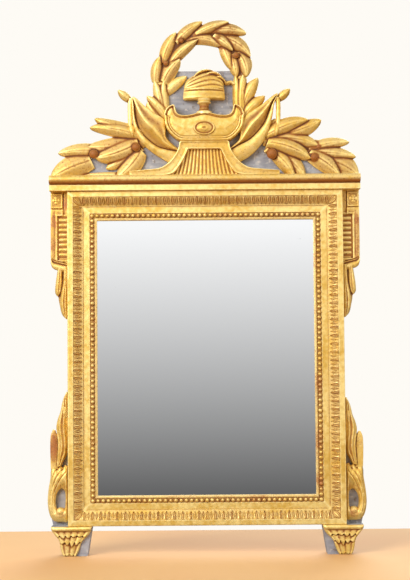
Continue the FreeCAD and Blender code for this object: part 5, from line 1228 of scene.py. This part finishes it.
def ragged(along, across):
    """A plump lip, then three rows of short leaves, each row thinner than the one above."""
    face = 7.4 * dome((along - 0.08) / 0.13)
    for start, end, count, height, shift in (
            (0.12, 0.44, 5.5, 6.8, 0.2), (0.38, 0.7, 4.4, 5.6, 0.6), (0.64, 1.05, 3.2, 4.6, 0.35)):
        lobe = np.abs(np.sin(np.pi * (across * count + shift)))
        reach = start + (end - start) * (0.6 + 0.4 * lobe * (0.7 + 0.3 * np.cos(7 * across + start * 9)))
        rise = height - 0.9 * (1 - lobe) - 1.2 * limit((reach - along) / (reach - start))
        face = np.maximum(face, np.where((along > start) & (along < reach), rise, 2.8))
    edge = limit(np.minimum(across, 1 - across) / 0.07) ** 0.5
    return MM * np.minimum(face * (0.6 + 0.4 * edge), 8.0)


for name, side in (("left", -1), ("right", 1)):
    low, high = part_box("foot_" + name)
    inner_edge, outer_edge = (
        flowing([(side * (foot_leaf_low.x + foot_width * x), foot_leaf_high.z * z) for x, z in places], 110)
        for places in (foot_inner, foot_outer))
    apron = Carving(foot_leaf_high.y)
    apron.band(inner_edge, outer_edge, ragged, 90)
    apron.redden(((inner_edge[60] + outer_edge[60]) / 2), 34 * MM, 40 * MM, 0.2)
    apron.finish("foot_leaf_" + name, 0.55 * MM, 1, (0.36, 0.9))

    levels = np.linspace(low.z, high.z, foot_rows)
    outside = np.interp(levels, outer_edge[::-1, 1], abs(outer_edge[::-1, 0])) - 0.5 * MM
    inside = np.interp(levels, (low.z, high.z), (foot_leaf_low.x + foot_toe, foot_leaf_low.x))
    points = [
        (side * across, depth, level) for near, far, level in zip(inside, outside, levels)
        for across, depth in ((near, low.y), (far, low.y), (far, high.y), (near, high.y))]
    faces = [(0, 1, 2, 3), tuple(range(4 * foot_rows - 4, 4 * foot_rows))] + [
        (4 * row + corner, 4 * row + (corner + 1) % 4, 4 * row + 4 + (corner + 1) % 4, 4 * row + 4 + corner)
        for row in range(foot_rows - 1) for corner in range(4)]
    block = plain_mesh("foot_" + name, points, faces)
    block.materials.append(distemper)
    stand("foot_" + name, block)


# The hanging eyes, rings and brads: old iron wire, brown with rust in patches and dark bare iron
# between them. The eyes are driven into the back of the top rail.
old_iron, shader, place = new_finish("old_iron")
rust = place.noise(260, 4)
lay(shader, rust.ramp(0.42, 0.62).into(paint(74, 66, 60), paint(112, 72, 46)), "Base Color")
lay(shader, 0.85 - 0.6 * rust.ramp(0.42, 0.62), "Metallic")
lay(shader, 0.42 + 0.4 * rust, "Roughness")
lay(shader, rust.relief(0.3, 0.3 * MM), "Normal")
for name in (
        "hanging_eye_left", "hanging_eye_right", "hanging_ring_left", "hanging_ring_right", "back_brads"):
    coat_node(name, old_iron)


# The stage: a pale table top that ends a little behind the mirror, soft daylight from the upper
# left and a bright room in front of the glass that darkens towards the floor.
table_half, table_front, table_back = 4, -6, 0.28
table = bpy.data.meshes.new("table")
table.from_pydata([
    (-table_half, table_front, 0), (table_half, table_front, 0), (table_half, table_back, 0),
    (-table_half, table_back, 0)], [], [(0, 1, 2, 3)])
table_top = bpy.data.objects.new("table_top", table)
bpy.context.scene.collection.objects.link(table_top)
table_paint, shader, place = new_finish("pale_table")
lay(shader, place.noise(3, 2).ramp(0.3, 0.7).into(paint(232, 178, 116), paint(236, 187, 124)), "Base Color")
shader.inputs["Roughness"].default_value = 0.7
table.materials.append(table_paint)
table_top.visible_glossy = False

room = bpy.data.worlds.new("room")
bpy.context.scene.world = room
room.use_nodes = True
room.node_tree.nodes.clear()
sky = Wash(room.node_tree, room.node_tree.nodes.new("ShaderNodeTexCoord").outputs["Generated"])
level = sky.node("ShaderNodeSeparateXYZ", {}, {"Vector": sky}, 2)
shown = level.node("ShaderNodeLightPath", {}, {}, 0)
mirrored = level.node("ShaderNodeLightPath", {}, {}, 3)
depth = level.node("ShaderNodeMapRange", {}, {"Value": level, "From Min": -0.105, "From Max": 0.1})
depth = level.maths("POWER", depth, 1.12)
reflected = depth.into(paint(94, 94, 94), paint(252, 252, 252))
light = mirrored.into((0.34, 0.34, 0.34, 1), reflected)
light = shown.into(light, paint(254, 251, 245))
glow = level.node("ShaderNodeBackground", {}, {"Color": light, "Strength": 1.0})
room.node_tree.links.new(
    glow.socket, room.node_tree.nodes.new("ShaderNodeOutputWorld").inputs["Surface"])

lit_spot = Vector((0, 0, 0.42))
for name, where, size, power in (
        ("window", (-1.2, -1.55, 1.25), 1.2, 43), ("bounce", (1.7, -1.8, 0.8), 1.8, 15),
        ("rear", (0.4, 1.8, 1.4), 1.5, 32)):
    lamp = bpy.data.lights.new(name, "AREA")
    lamp.size, lamp.energy = size, power
    holder = bpy.data.objects.new(name, lamp)
    holder.location = where
    holder.rotation_euler = (lit_spot - Vector(where)).to_track_quat("-Z", "Y").to_euler()
    bpy.context.scene.collection.objects.link(holder)

tilt = math.radians(3.0)
lean = -0.0078949
eye = (-0.0008, -2.0, 0.28682)
sensor = 36.0
focal_pixels, picture_height = 1338.25, 580
ahead = Vector((0, math.cos(tilt), math.sin(tilt)))
rightward, upward = Vector((1, 0, 0)), Vector((0, -math.sin(tilt), math.cos(tilt)))
right_edge = rightward * math.cos(lean) + upward * math.sin(lean)
top_edge = upward * math.cos(lean) - rightward * math.sin(lean)
lens = bpy.data.cameras.new("camera")
lens.sensor_width = sensor
lens.lens = focal_pixels * sensor / picture_height
camera = bpy.data.objects.new("camera", lens)
camera.matrix_world = Matrix.Translation(eye) @ Matrix((
    (right_edge.x, top_edge.x, -ahead.x, 0), (right_edge.y, top_edge.y, -ahead.y, 0),
    (right_edge.z, top_edge.z, -ahead.z, 0), (0, 0, 0, 1)))
bpy.context.scene.collection.objects.link(camera)
bpy.context.scene.camera = camera
bpy.context.scene.view_settings.view_transform = "Standard"

bpy.context.view_layer.update()
